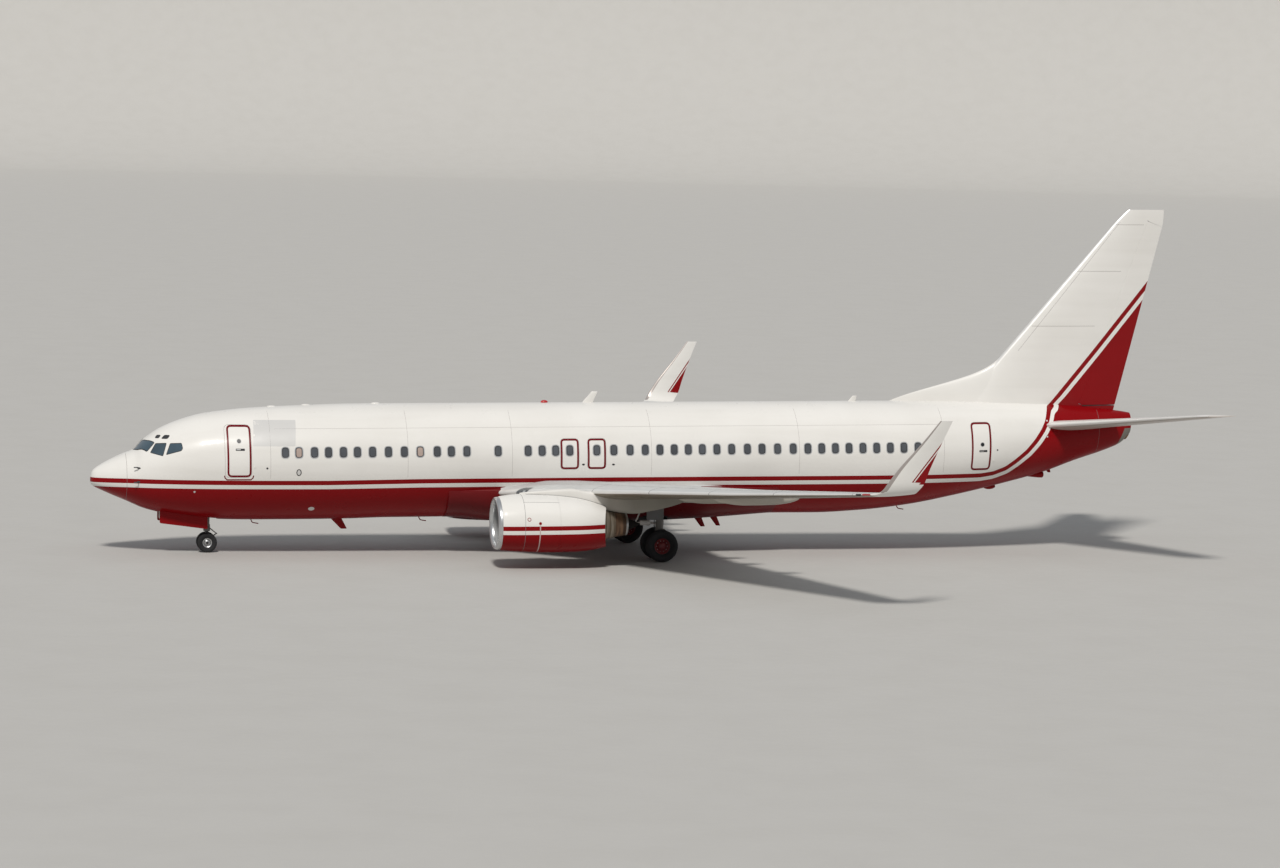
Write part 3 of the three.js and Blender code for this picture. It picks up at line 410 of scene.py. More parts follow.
def mirrored(shape):
    points, faces = shape
    return points * (1, -1, 1), [face[::-1] for face in faces]


def sided(shape, side):
    """A shape drawn on the starboard side, on either side."""
    return shape if side > 0 else mirrored(shape)


def frames_along(path):
    """Two directions across a path at each of its points, turned as little as possible."""
    path = np.asarray(path, float)
    along = unit(np.gradient(path, axis=0))
    side = np.cross(along[0], (0, 0, 1) if abs(along[0][2]) < 0.9 else (1, 0, 0))
    sides = []
    for direction in along:
        side = side - direction * (side @ direction)
        side = side / np.linalg.norm(side)
        sides.append(side)
    sides = np.array(sides)
    return sides, np.cross(along, sides)


def tube(path, radius, sides=16):
    """A round rod or pipe along a path. Radius is one number or one for each point."""
    path = np.asarray(path, float)
    u, v = frames_along(path)
    c, s = circle(sides)
    radius = np.broadcast_to(radius, len(path))[:, None, None]
    return loft(path[:, None] + radius * (c[None, :, None] * u[:, None] + s[None, :, None] * v[:, None]))


def rod(start, end, radius, sides=24, bevel=0.004):
    """A rod with chamfered ends."""
    start, end = np.asarray(start, float), np.asarray(end, float)
    length = np.linalg.norm(end - start)
    bevel = min(bevel, length / 4, radius / 4)
    shares = np.array([0, bevel, length - bevel, length]) / length
    path = start + (end - start) * shares[:, None]
    return tube(path, [radius - bevel, radius, radius, radius - bevel], sides)


def lathe(profile, centre, axis, sides=64, loop=False):
    """A profile of distance along the axis and radius, turned about the axis."""
    axis = unit(np.array(axis, float))
    u = unit(np.cross(axis, (0, 0, 1) if abs(axis[2]) < 0.9 else (1, 0, 0)))
    v = np.cross(axis, u)
    c, s = circle(sides, 0.5)
    rings = [
        np.asarray(centre) + along * axis + max(radius, 0.0005) * (c[:, None] * u + s[:, None] * v)
        for along, radius in profile
    ]
    return loft(rings, loop=loop)


def block(low, high, bevel=0.005):
    """A box with chamfered edges."""
    low, high = np.minimum(low, high), np.maximum(low, high)
    bevel = min(bevel, *(high - low) / 4)
    rings = []
    for x, inset in ((low[0], bevel), (low[0] + bevel, 0), (high[0] - bevel, 0), (high[0], bevel)):
        y0, y1, z0, z1 = low[1] + inset, high[1] - inset, low[2] + inset, high[2] - inset
        corner = [(y0 + bevel, z0), (y1 - bevel, z0), (y1, z0 + bevel), (y1, z1 - bevel)]
        corner += [(y1 - bevel, z1), (y0 + bevel, z1), (y0, z1 - bevel), (y0, z0 + bevel)]
        rings.append([(x, y, z) for y, z in corner])
    return loft(rings)


def placed(points, matrix):
    return points @ np.array(matrix.to_3x3()).T + np.array(matrix.translation)


# Outlines are lists of flat points
def dense(path, step):
    """A path with no stretch longer than the step."""
    made = []
    for a, b in zip(path[:-1], path[1:]):
        pieces = max(1, math.ceil(np.linalg.norm(b - a) / step))
        made += [a + (b - a) * k / pieces for k in range(pieces)]
    return np.array([*made, path[-1]])


def outline(corners, radius, step=0.12):
    """A closed outline with rounded corners and no stretch longer than the step."""
    corners = np.asarray(corners, float)
    made = []
    for i, corner in enumerate(corners):
        back, ahead = corners[i - 1] - corner, corners[(i + 1) % len(corners)] - corner
        start = corner + back * min(radius / np.linalg.norm(back), 0.49)
        end = corner + ahead * min(radius / np.linalg.norm(ahead), 0.49)
        made.append(curved(start, corner, end, np.linspace(0, 1, 6)[:, None]))
    return dense(np.vstack([*made, made[0][:1]]), step)[:-1]


def oval(x, z, wide, high, sides=20):
    angle = around(sides)
    return np.stack([x + wide * np.cos(angle), z + high * np.sin(angle)], 1)


def rounded_box(x0, x1, z0, z1, radius, step=0.12):
    return outline([(x0, z0), (x1, z0), (x1, z1), (x0, z1)], radius, step)


def grown(flat, by):
    """An outline moved outwards."""
    along = unit(np.roll(flat, -1, axis=0) - np.roll(flat, 1, axis=0))
    area = np.sum(flat[:, 0] * np.roll(flat[:, 1], -1) - flat[:, 1] * np.roll(flat[:, 0], -1))
    return flat + by * math.copysign(1, area) * np.stack([along[:, 1], -along[:, 0]], axis=-1)


# Surfaces are functions of two places and a lift off the surface
hull_half_width, hull_level, hull_crown, hull_keel = columns(
    HULL_ROWS, scale=lambda x: np.sqrt(np.maximum(x - HULL_ROWS[0][0], 0))
)


def hull_reach(x, above):
    """Height of the crown over the level of the greatest width, or that level over the keel."""
    level = hull_level(x)
    return np.where(above, hull_crown(x) - level, level - hull_keel(x))


def hull_bare(x, angle):
    high = hull_level(x) + hull_reach(x, np.sin(angle) > 0) * np.sin(angle)
    return points_of(x, hull_half_width(x) * np.cos(angle), high)


def lifted(bare, u, v, lift, reach=0.004):
    """A point of a surface, moved along its normal."""
    u, v = np.asarray(u, float), np.asarray(v, float)
    across = bare(u, v + reach) - bare(u, v - reach)
    along = bare(u + reach, v) - bare(u - reach, v)
    return bare(u, v) + np.asarray(lift)[..., None] * unit(np.cross(across, along))


def on_hull(x, angle, lift=0.0):
    return lifted(hull_bare, x, angle, lift)


def hull_side(side):
    """The hull's surface on one side, over x and height."""

    def at(x, z, lift=0.0):
        share = (z - hull_level(x)) / hull_reach(x, z > hull_level(x))
        angle = np.arcsin(np.clip(share, -0.999, 0.999))
        return on_hull(x, angle if side > 0 else np.pi - angle, lift)

    return at


def slab(at, flat, top, bottom, rings=5, bevel=0.0):
    """A plate with the given outline that follows a surface, between two lifts off it."""
    middle = flat.mean(axis=0)
    shares = np.linspace(1, 0.03, rings + 1)
    scaled = [middle + (flat - middle) * share for share in shares]
    layers = [at(*ring.T, bottom) for ring in reversed(scaled)]
    if bevel:
        layers.append(at(*flat.T, top - bevel))
        scaled[0] = grown(flat, -bevel)
    layers += [at(*ring.T, top) for ring in scaled]
    return loft(layers)


def band(at, inner, outer, lift, sunk=0.004):
    """A flat frame between two outlines on a surface."""
    rings = [at(*outer.T, -sunk), at(*outer.T, lift), at(*inner.T, lift), at(*inner.T, -sunk)]
    return loft(rings, loop=True)


def seam(at, path, width=0.012, proud=0.0012, step=0.15):
    """A thin strip along a path on a surface, for a joint between panels."""
    u, v = dense(np.asarray(path, float), step).T
    middle = at(u, v, 0.0)
    normal = unit(at(u, v, 0.01) - middle)
    across = unit(np.cross(normal, np.gradient(middle, axis=0))) * width / 2
    low, high = middle - normal * 0.004, middle + normal * proud
    return loft(np.stack([low - across, low + across, high + across, high - across], 1))


# Blender objects
def mesh_of(name, shape, place=STANCE):
    points, faces = shape
    mesh = bpy.data.meshes.new(name)
    mesh.from_pydata(placed(points, place).tolist(), [], faces)
    mesh.update()
    return mesh


def oriented(mesh):
    """Turns the faces of a closed mesh outwards."""
    work = bmesh.new()
    work.from_mesh(mesh)
    bmesh.ops.recalc_face_normals(work, faces=work.faces)
    work.to_mesh(mesh)
    work.free()


def carved(shape, *tools, keep=False):
    """A shape without what the tools cover, or with keep only what they cover."""
    objects = [bpy.data.objects.new("work", mesh_of("work", s, Matrix())) for s in (shape, joined(*tools))]
    for item in objects:
        bpy.context.scene.collection.objects.link(item)
        oriented(item.data)
    cut = objects[0].modifiers.new("cut", "BOOLEAN")
    cut.operation = "INTERSECT" if keep else "DIFFERENCE"
    cut.solver = "MANIFOLD"
    cut.object = objects[1]
    bpy.context.view_layer.update()
    result = objects[0].evaluated_get(bpy.context.evaluated_depsgraph_get()).to_mesh()
    points = np.zeros(len(result.vertices) * 3)
    result.vertices.foreach_get("co", points)
    faces = [tuple(p.vertices) for p in result.polygons]
    for item in objects:
        bpy.data.objects.remove(item)
    if not faces:
        raise RuntimeError("a cut left nothing")
    return points.reshape(-1, 3), faces


def piece(name, shape, material, body="airframe", replaces="", slot=None, place=STANCE, sharp=32, **values):
    """A shown object, of one shape or a list of them. Values go to its points, for its material."""
    mesh = mesh_of(name, joined(*shape) if isinstance(shape, list) else shape, place)
    oriented(mesh)
    mesh.shade_smooth()
    mesh.set_sharp_from_angle(angle=math.radians(sharp))
    for key, numbers in values.items():
        numbers = np.full(len(mesh.vertices), numbers, float)
        mesh.attributes.new(key, "FLOAT", "POINT").data.foreach_set("value", numbers)
    mesh.materials.append(material)
    item = bpy.data.objects.new(name, mesh)
    bpy.context.scene.collection.objects.link(item)
    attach(item, body)
    if replaces:
        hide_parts(replaces)
    return item


def both(name, shape, material, body="airframe", replaces="", **rest):
    """A starboard shape and its mirror image to port. A star in a name stands for left or right."""
    shape = joined(*shape) if isinstance(shape, list) else shape
    for side, hand in HANDS:
        name_here, body_here, node_here = (text.replace("*", hand) for text in (name, body, replaces))
        piece(name_here, sided(shape, side), material, body_here, node_here, **rest)


def follow_surface(item, normals, on_surface):
    """Shades the faces that lie on a smooth surface by that surface, and the others flat."""
    mesh = item.data
    normals = normals @ np.array(STANCE.to_3x3()).T
    corners = np.zeros(len(mesh.loops), int)
    mesh.loops.foreach_get("vertex_index", corners)
    flat = np.zeros(len(mesh.polygons) * 3)
    mesh.polygons.foreach_get("normal", flat)
    sizes = np.zeros(len(mesh.polygons), int)
    mesh.polygons.foreach_get("loop_total", sizes)
    face_normals = np.repeat(flat.reshape(-1, 3), sizes, axis=0)
    wanted = normals[corners]
    smooth = on_surface[corners] & (np.sum(wanted * face_normals, axis=1) > 0.8)
    mesh.normals_split_custom_set(np.where(smooth[:, None], wanted, face_normals).tolist())


# Materials
def new_material(name, roughness, metallic=0.0, coat=0.0, specular=0.5):
    made = bpy.data.materials.new(name)
    made.use_nodes = True
    shader = made.node_tree.nodes["Principled BSDF"]
    shader.inputs["Roughness"].default_value = roughness
    shader.inputs["Metallic"].default_value = metallic
    shader.inputs["Coat Weight"].default_value = coat
    shader.inputs["Coat Roughness"].default_value = 0.08
    shader.inputs["Specular IOR Level"].default_value = specular
    return made, made.node_tree, shader


def node(tree, kind, **values):
    made = tree.nodes.new(kind)
    for key, value in values.items():
        if key in made.inputs:
            made.inputs[key].default_value = value
        else:
            setattr(made, key.lower(), value)
    return made


def noise(tree, scale, detail=3.0, stretch=(1, 1, 1)):
    """Noise over the object's own coordinates, as a number from 0 to 1."""
    place = node(tree, "ShaderNodeTexCoord")
    mapping = node(tree, "ShaderNodeMapping")
    mapping.inputs["Scale"].default_value = stretch
    made = node(tree, "ShaderNodeTexNoise", Scale=scale, Detail=detail)
    tree.links.new(place.outputs["Object"], mapping.inputs["Vector"])
    tree.links.new(mapping.outputs["Vector"], made.inputs["Vector"])
    return made.outputs["Fac"]


def ranged(tree, value, low, high, start=0.35, end=0.65):
    """A number moved from one range to another."""
    made = node(tree, "ShaderNodeMapRange")
    for key, number in zip(("From Min", "From Max", "To Min", "To Max"), (start, end, low, high)):
        made.inputs[key].default_value = number
    tree.links.new(value, made.inputs["Value"])
    return made.outputs["Result"]


def mixed(tree, share, first, second, how="MIX"):
    """Two colours mixed. Each is a socket or a plain colour."""
    made = node(tree, "ShaderNodeMix", data_type="RGBA", blend_type=how)
    sockets = [s for s in made.inputs if s.type == "RGBA"]
    for socket, colour in zip(sockets, (first, second)):
        if isinstance(colour, bpy.types.NodeSocket):
            tree.links.new(colour, socket)
        else:
            socket.default_value = (*colour, 1)
    if isinstance(share, bpy.types.NodeSocket):
        tree.links.new(share, made.inputs[0])
    else:
        made.inputs[0].default_value = share
    return next(s for s in made.outputs if s.type == "RGBA")


def attribute(tree, name):
    made = node(tree, "ShaderNodeAttribute")
    made.attribute_name = name
    return made.outputs["Fac"]


def steps(tree, value, stops):
    """Plain colours along a number, each from its own place on."""
    ramp = node(tree, "ShaderNodeValToRGB").color_ramp
    ramp.interpolation = "CONSTANT"
    while len(ramp.elements) < len(stops):
        ramp.elements.new(0.5)
    for element, (place, colour) in zip(ramp.elements, sorted(stops)):
        element.position = min(max((place + STRIPE_RANGE) / (2 * STRIPE_RANGE), 0), 1)
        element.color = (*colour, 1)
    holder = next(n for n in tree.nodes if n.type == "VALTORGB" and n.color_ramp == ramp)
    tree.links.new(ranged(tree, value, 0, 1, -STRIPE_RANGE, STRIPE_RANGE), holder.inputs["Fac"])
    return holder.outputs["Color"]


WHITE = (0.76, 0.745, 0.715)
RED = (0.23, 0.002, 0.004)
# Painted shade: the near-black colour of the walls of door pockets, exits, the nose bay and the wheel wells
RECESS_SHADE = (0.02, 0.02, 0.022)


def weathered(tree, shader, colour, rough, grime=0.1, streaks=0.08, bump=0.008, tint=(0.5, 0.47, 0.42)):
    """Soft grime, streaks along the airflow, and uneven gloss over a colour."""
    broad = ranged(tree, noise(tree, 0.45, 5), 0, grime, 0.4, 0.75)
    colour = mixed(tree, broad, colour, tint, "MULTIPLY")
    flow = ranged(tree, noise(tree, 1.6, 4, (0.12, 1, 1.6)), 0, streaks, 0.45, 0.75)
    colour = mixed(tree, flow, colour, tint, "MULTIPLY")
    tree.links.new(colour, shader.inputs["Base Color"])
    gloss = ranged(tree, noise(tree, 2.6, 6), rough * 0.9, rough * 1.15)
    tree.links.new(gloss, shader.inputs["Roughness"])
    if bump:
        relief = node(tree, "ShaderNodeBump", Strength=bump, Distance=0.02)
        tree.links.new(noise(tree, 0.9, 2), relief.inputs["Height"])
        tree.links.new(relief.outputs["Normal"], shader.inputs["Normal"])


def livery(tree):
    """White above the stripe line, then a red stripe, a white one, and red below."""
    stops = [(-STRIPE_RANGE, RED), (-STRIPE_WIDTH - STRIPE_GAP, WHITE), (-STRIPE_WIDTH, RED), (0, WHITE)]
    return steps(tree, attribute(tree, "stripe"), stops)


def striped_paint():
    """The livery, with painted shade: near black inside the openings."""
    made, tree, shader = new_material("striped_paint", 0.3, coat=0.05, specular=0.12)
    colour = livery(tree)
    depth = ranged(tree, attribute(tree, "depth"), 0, 1, 0.003, 0.0035)
    weathered(tree, shader, mixed(tree, depth, colour, RECESS_SHADE), 0.3)
    return made


def plain_paint(name, colour, rough=0.32, coat=0.12, metallic=0.0, specular=0.35, **finish):
    made, tree, shader = new_material(name, rough, metallic, coat, specular)
    weathered(tree, shader, colour, rough, **finish)
    return made


def ringed_metal(name, colour, darker):
    """Heat-stained metal with uneven rings along the engine and soft streaks round it."""
    made, tree, shader = new_material(name, 0.42, 0.7)
    rings = ranged(tree, noise(tree, 9.0, 3, (1, 0.06, 0.06)), 0, 1, 0.42, 0.58)
    stained = mixed(tree, rings, colour, darker)
    weathered(tree, shader, stained, 0.42, grime=0.4, streaks=0.2)
    return made


def glass(name, colour, rough=0.08):
    made, tree, shader = new_material(name, rough, coat=0.6, specular=0.8)
    shade = ranged(tree, noise(tree, 1.3, 2), 0, 1, 0.3, 0.7)
    tree.links.new(mixed(tree, shade, colour, [c * 1.6 for c in colour]), shader.inputs["Base Color"])
    return made


def edged_paint(name, colour, striped=False, below=None, edge=(0.85, 0.84, 0.82)):
    """Paint with a bare metal leading edge, with the stripes or another, darker colour below where it has
    one. That darker underside is partly the paint and partly painted shade.
    """
    made, tree, shader = new_material(name, 0.32, coat=0.08, specular=0.2)
    if striped:
        colour = livery(tree)
    if below:
        colour = mixed(tree, attribute(tree, "under"), colour, below)
    bare = ranged(tree, attribute(tree, "edge"), 1, 0, 0.028, 0.03)
    weathered(tree, shader, mixed(tree, bare, colour, edge), 0.32)
    tree.links.new(ranged(tree, bare, 0, 0.4, 0, 1), shader.inputs["Metallic"])
    return made


def pylon_paint():
    """White at the front of a pylon, turning tan and darker behind: partly bare, stained metal, partly
    painted shade under the wing. Aft is the station.
    """
    made, tree, shader = new_material("pylon_paint", 0.38, specular=0.3)
    # Tan and darker towards the back: partly the bare aft fairing's own tone, partly painted shade under the
    # wing
    fore = ranged(tree, attribute(tree, "aft"), 0, 1, 16.8, 17.4)
    colour = mixed(tree, fore, WHITE, (0.45, 0.42, 0.37))
    rear = ranged(tree, attribute(tree, "aft"), 0, 1, 17.7, 18.3)
    weathered(tree, shader, mixed(tree, rear, colour, (0.33, 0.31, 0.27)), 0.38, grime=0.3)
    return made


PAINT = striped_paint()
FIN_PAINT = edged_paint("fin_paint", WHITE, striped=True)
WINGLET_PAINT = edged_paint("winglet_paint", WHITE, striped=True, edge=(0.42, 0.38, 0.36))
# The darker undersides of the stabiliser and the wing: partly their own paint, partly painted shade
STABILISER_PAINT = edged_paint("stabiliser_paint", (0.72, 0.7, 0.68), below=(0.45, 0.4, 0.36))
WING_PAINT = edged_paint("wing_paint", (0.56, 0.565, 0.56), below=(0.2, 0.168, 0.128))
TAIL_PAINT = plain_paint("grey_paint", (0.52, 0.53, 0.53), 0.35)
CANOE_PAINT = plain_paint("canoe_paint", (0.5, 0.47, 0.41), 0.35)
RED_PAINT = plain_paint("red_paint", RED, coat=0.03, specular=0.12)
PYLON_PAINT = pylon_paint()
WHITE_PAINT = plain_paint("white_paint", WHITE)
SEAM_PAINT = plain_paint("seam_dark", (0.2, 0.2, 0.2), 0.5, 0)
FRAME_METAL = plain_paint("window_frame_metal", (0.56, 0.57, 0.58), 0.3, 0.1, 0.6)
OUTLINE_PAINT = plain_paint("outline_red", (0.15, 0.003, 0.008), coat=0.03, specular=0.12)
EYEBROW_GLASS = glass("eyebrow_glass", (0.018, 0.018, 0.022))
DOOR_GLASS = plain_paint("door_glass", (0.02, 0.022, 0.026), 0.3, 0, specular=0.2)
PANE = glass("cabin_pane", (0.05, 0.055, 0.062))
BLIND = plain_paint("window_blind", (0.42, 0.33, 0.29), 0.5, 0)
COCKPIT_GLASS = glass("cockpit_glass", (0.03, 0.055, 0.075), 0.05)
SEAL = plain_paint("black_seal", (0.03, 0.03, 0.032), 0.6, 0)
STAINLESS = plain_paint("stainless", (0.5, 0.5, 0.5), 0.3, 0, 0.9)
LENS = glass("lamp_lens", (0.08, 0.085, 0.09), 0.05)
LAMP = plain_paint("lamp_reflector", (0.9, 0.9, 0.88), 0.12, 0.5, 0.8)
NAVIGATION = {-1: glass("port_light", (0.35, 0.01, 0.01)), 1: glass("starboard_light", (0.01, 0.22, 0.06))}
POLISHED = plain_paint("polished_metal", (0.6, 0.61, 0.62), 0.3, 0, 0.85, grime=0.2, streaks=0.1)
LINER = plain_paint("duct_liner", (0.3, 0.305, 0.31), 0.6, 0)
TITANIUM = plain_paint("fan_metal", (0.13, 0.135, 0.14), 0.35, 0, 0.85)
SPINNER_PAINT = plain_paint("spinner_grey", (0.1, 0.105, 0.11), 0.35, 0.2)
BRONZE = ringed_metal("heated_metal", (0.3, 0.18, 0.11), (0.12, 0.075, 0.05))
CORE_METAL = ringed_metal("core_metal", (0.33, 0.29, 0.24), (0.15, 0.12, 0.085))
CHROME = plain_paint("chromed_piston", (0.8, 0.8, 0.8), 0.12, 0, 1.0, grime=0.1, streaks=0)
HOSE = plain_paint("hose_black", (0.04, 0.04, 0.042), 0.55, 0)
DARK = plain_paint("brake_metal", (0.11, 0.11, 0.115), 0.5, 0, 0.7, grime=0.4)
HUB_RED = plain_paint("hub_red", (0.16, 0.02, 0.022), 0.45, 0.1, grime=0.4)
RIM_METAL = plain_paint("rim_metal", (0.55, 0.56, 0.57), 0.35, 0, 0.8, grime=0.3)
RUBBER = plain_paint("tyre_rubber", (0.022, 0.022, 0.024), 0.8, 0, grime=0.5, bump=0.1)
# Soot and painted shade: the plug is darkened further, as it would be in the wing's shadow
PLUG_SOOT_AND_SHADE = plain_paint("plug_soot_and_shade", (0.014, 0.012, 0.011), 0.7, 0, 0.2, 0.15, grime=0.4)
DAMPER_WHITE = plain_paint("damper_white", (0.8, 0.77, 0.74), 0.3)
CAP_METAL = plain_paint("tail_cap_metal", (0.24, 0.225, 0.2), 0.4, 0, 0.5, grime=0.4)
# A near-black disc across the exhaust pipe: soot, and painted shade for the pipe's dark inside
BLACK = plain_paint("exhaust_soot_and_shade", (0.008, 0.008, 0.008), 0.9, 0)
FADED_PAINT = plain_paint("faded_band", (0.55, 0.42, 0.4), 0.4)
# The gear struts' colour: partly grime, partly painted shade that darkens them further
GRIMY_SHADED_STRUT = plain_paint("strut_grime_and_shade", (0.2, 0.19, 0.18), 0.45, 0, grime=0.5)
# Painted shade: the leg door is darker than its grey paint, as it would be in the wing's shadow
LEG_DOOR_SHADED_GREY = plain_paint("leg_door_grey_shaded", (0.17, 0.17, 0.175), 0.4, grime=0.3)
FAINT_SEAM = plain_paint("seam_faint", (0.22, 0.19, 0.185), 0.5, 0)
PLATE = plain_paint("bare_plate", (0.6, 0.595, 0.585), 0.4)


def stripe_distance(points):
    """How far points lie above the stripe line, in the side view. Below it is negative."""
    line = np.array(STRIPE_LINE)
    flat = points[:, [0, 2]]
    best = np.full(len(flat), 1e9)
    sign = np.ones(len(flat))
    for a, b in zip(line[:-1], line[1:]):
        along = b - a
        t = np.clip((flat - a) @ along / (along @ along), 0, 1)
        gap = flat - (a + t[:, None] * along)
        far = np.linalg.norm(gap, axis=1)
        nearer = far < best
        sign[nearer] = np.sign(along[0] * gap[:, 1] - along[1] * gap[:, 0])[nearer]
        best = np.minimum(best, far)
    return np.where(best < 1e-9, 0, best * sign)


# Fuselage
def hull_shell(start, end, step=0.16):
    """The hull between two stations, with closer rings at the nose."""
    nose = HULL_ROWS[0][0] + np.linspace(0, math.sqrt(2.4), 46) ** 2
    stations = np.concatenate([nose, np.arange(2.5, HULL_ROWS[-1][0], step), [HULL_ROWS[-1][0]]])
    stations = stations[(stations > start + 0.01) & (stations < end - 0.01)]
    stations = np.concatenate([[start], stations, [end]])
    return loft(hull_bare(stations[:, None], around(HULL_SIDES)[None, :]))


def hull_depth(points):
    """How far points lie inside the hull, and the hull's normals there."""
    x = np.clip(points[:, 0], HULL_ROWS[0][0], HULL_ROWS[-1][0])
    rise = points[:, 2] - hull_level(x)
    angle = np.arctan2(rise / hull_reach(x, rise > 0), points[:, 1] / hull_half_width(x))
    surface = on_hull(x, angle)
    normal = unit(on_hull(x, angle, 0.01) - surface)
    return np.sum((surface - points) * normal, axis=1), normal


def door_outline(row, corner):
    """The edge of a door or an exit, as x and height."""
    _, _, start, end, sill, head = row
    return rounded_box(start, end, sill, head, corner, 0.07)


def well_tool(side):
    """What cuts a wheel well out of the belly."""
    start = (WELL["x"], side * WELL["y"], -3)
    return rod(start, (WELL["x"], side * WELL["y"], WELL["roof"]), WELL["radius"], 64)


def build_fuselage():
    half = NOSE_BAY["half_width"]
    tools = [well_tool(side) for side, _ in HANDS]
    tools.append(block((NOSE_BAY["from"], -half, -3), (NOSE_BAY["to"], half, NOSE_BAY["roof"])))
    for rows, corner, gap, pocket, rings in (
        (DOOR_ROWS, DOOR_CORNER, DOOR_GAP, DOOR_POCKET, 12),
        (EXIT_ROWS, EXIT_CORNER, EXIT_GAP, EXIT_POCKET, 8),
    ):
        for row in rows:
            flat = grown(door_outline(row, corner), gap)
            tools.append(slab(hull_side(row[1]), flat, 0.1, -pocket, rings))
    hull = carved(hull_shell(RADOME_SEAM + 0.003, TAIL_CONE_SEAM - 0.003), *tools)
    (x0, z0), (x1, z1) = TAIL_CAP_SEAM
    wedge = [(x0 - (x1 - x0), z0 - (z1 - z0)), (39, -0.5), (39, z1), (x1, z1)]
    wedge = loft([[(x, y, z) for x, z in wedge] for y in (-1, 1)])
    cone = hull_shell(TAIL_CONE_SEAM, HULL_ROWS[-1][0], 0.1)
    for name, shape, paint, node_name in (
        ("fuselage_skin", hull, PAINT, "fuselage"),
        ("radome_skin", hull_shell(HULL_ROWS[0][0], RADOME_SEAM), PAINT, "radome"),
        ("tail_cone_skin", carved(cone, wedge), PAINT, "tail_cone"),
        ("tail_cap", carved(cone, wedge, keep=True), CAP_METAL, ""),
    ):
        points = shape[0]
        depth, normal = hull_depth(points)
        values = {"stripe": stripe_distance(points), "depth": depth if name == "fuselage_skin" else 0}
        slot = "white_paint" if node_name else None
        item = piece(name, shape, paint, replaces=node_name, slot=slot, **values)
        if name != "radome_skin":
            follow_surface(item, normal, depth < 0.002)


def window_parts(x, side):
    """A cabin window's frame, pane and dark seal."""
    at = hull_side(side)
    wide, high, z = WINDOW["width"] / 2, WINDOW["height"] / 2, WINDOW["z"]
    flat = rounded_box(x - wide, x + wide, z - high, z + high, WINDOW["corner"], 0.06)
    edge = grown(flat, WINDOW["frame"])
    steps_in = ((edge, -0.003), (edge, 0.0015), (grown(flat, 0.006), 0.003), (flat, 0.0005), (flat, -0.01))
    rim = loft([at(*ring.T, lift) for ring, lift in steps_in], loop=True)
    seal = band(at, grown(flat, -0.026), grown(flat, 0.003), 0.0016)
    return rim, slab(at, grown(flat, 0.002), 0.001, -0.01, 2), seal


def door_skin(row, corner, depth, rings, body="airframe"):
    """The livery on a door or an exit. Gives its surface and its outline."""
    name, side = row[:2]
    at, flat = hull_side(side), door_outline(row, corner)
    shape = slab(at, flat, 0, -depth, rings, 0.003)
    values = {"stripe": stripe_distance(shape[0]), "depth": 0}
    piece(name + "_skin", shape, PAINT, body, name, "white_paint", **values)
    return at, flat


def build_doors():
    for row in DOOR_ROWS:
        name, _, start, end, sill, head = row
        at, flat = door_skin(row, DOOR_CORNER, DOOR_DEPTH, 14)
        middle = (start + end) / 2 + 0.035
        eye, grasp = (0.74, 0.45) if "forward" in name else (0.42, 0.18)
        pane = oval(middle, eye, 0.07, 0.07, 24)
        piece(name + "_window", slab(at, pane, 0.002, -0.01, 2), DOOR_GLASS)
        piece(name + "_window_rim", band(at, pane, grown(pane, 0.02), 0.003), PLATE)
        handle = rounded_box(middle - 0.12, middle + 0.19, grasp - 0.035, grasp + 0.04, 0.02)
        grip = rounded_box(middle - 0.1, middle + 0.05, grasp - 0.012, grasp + 0.018, 0.01)
        piece(name + "_handle_plate", slab(at, handle, 0.0015, -0.002, 1), SEAL)
        piece(name + "_handle", slab(at, grip, 0.016, -0.002, 1, 0.003), STAINLESS)
        edge, red = grown(flat, -OUTLINE_INSET), []
        if name == "forward_entry_door":
            edge = rounded_box(*ENTRY_BAND, DOOR_CORNER, 0.07)
            red = [seam(at, ENTRY_SILL, 0.04, 0.003)]
        piece(name + "_outline", [band(at, grown(edge, -DOOR_BAND), edge, 0.003), *red], OUTLINE_PAINT)
        levels = (sill + 0.35, head - 0.35)
        hinges = [rounded_box(end + 0.085, end + 0.14, z - 0.04, z + 0.04, 0.02) for z in levels]
        piece(name + "_hinges", [slab(at, hinge, 0.012, -0.002, 1, 0.003) for hinge in hinges], WHITE_PAINT)
    for row in EXIT_ROWS:
        name, side, start, end = row[:4]
        at, flat = door_skin(row, EXIT_CORNER, EXIT_DEPTH, 10, name)
        middle = (start + end) / 2
        rim, pane, seal = window_parts(middle, side)
        grip = rounded_box(middle - 0.07, middle + 0.07, 0.6, 0.64, 0.015)
        red = band(at, grown(flat, -OUTLINE_INSET - DOOR_BAND), grown(flat, -OUTLINE_INSET), 0.003)
        for part, shape, material in (
            ("window_frame", rim, FRAME_METAL),
            ("window", pane, PANE),
            ("window_seal", seal, SEAL),
            ("grip", slab(at, grip, 0.004, -0.002, 1, 0.001), WHITE_PAINT),
            ("outline", red, OUTLINE_PAINT),
        ):
            piece(f"{name}_{part}", shape, material, name)


def build_cabin_windows():
    frames, panes, blinds, seals = [], [], [], []
    for side, _ in HANDS:
        for i, x in enumerate(CABIN_WINDOWS):
            rim, pane, seal = window_parts(x, side)
            frames.append(rim)
            seals.append(seal)
            (blinds if (side, i) in BLINDS_DOWN else panes).append(pane)
    piece("cabin_window_frames", frames, FRAME_METAL)
    piece("cabin_window_panes", panes, PANE)
    piece("cabin_window_blinds", blinds, BLIND)
    piece("cabin_window_seals", seals, SEAL)


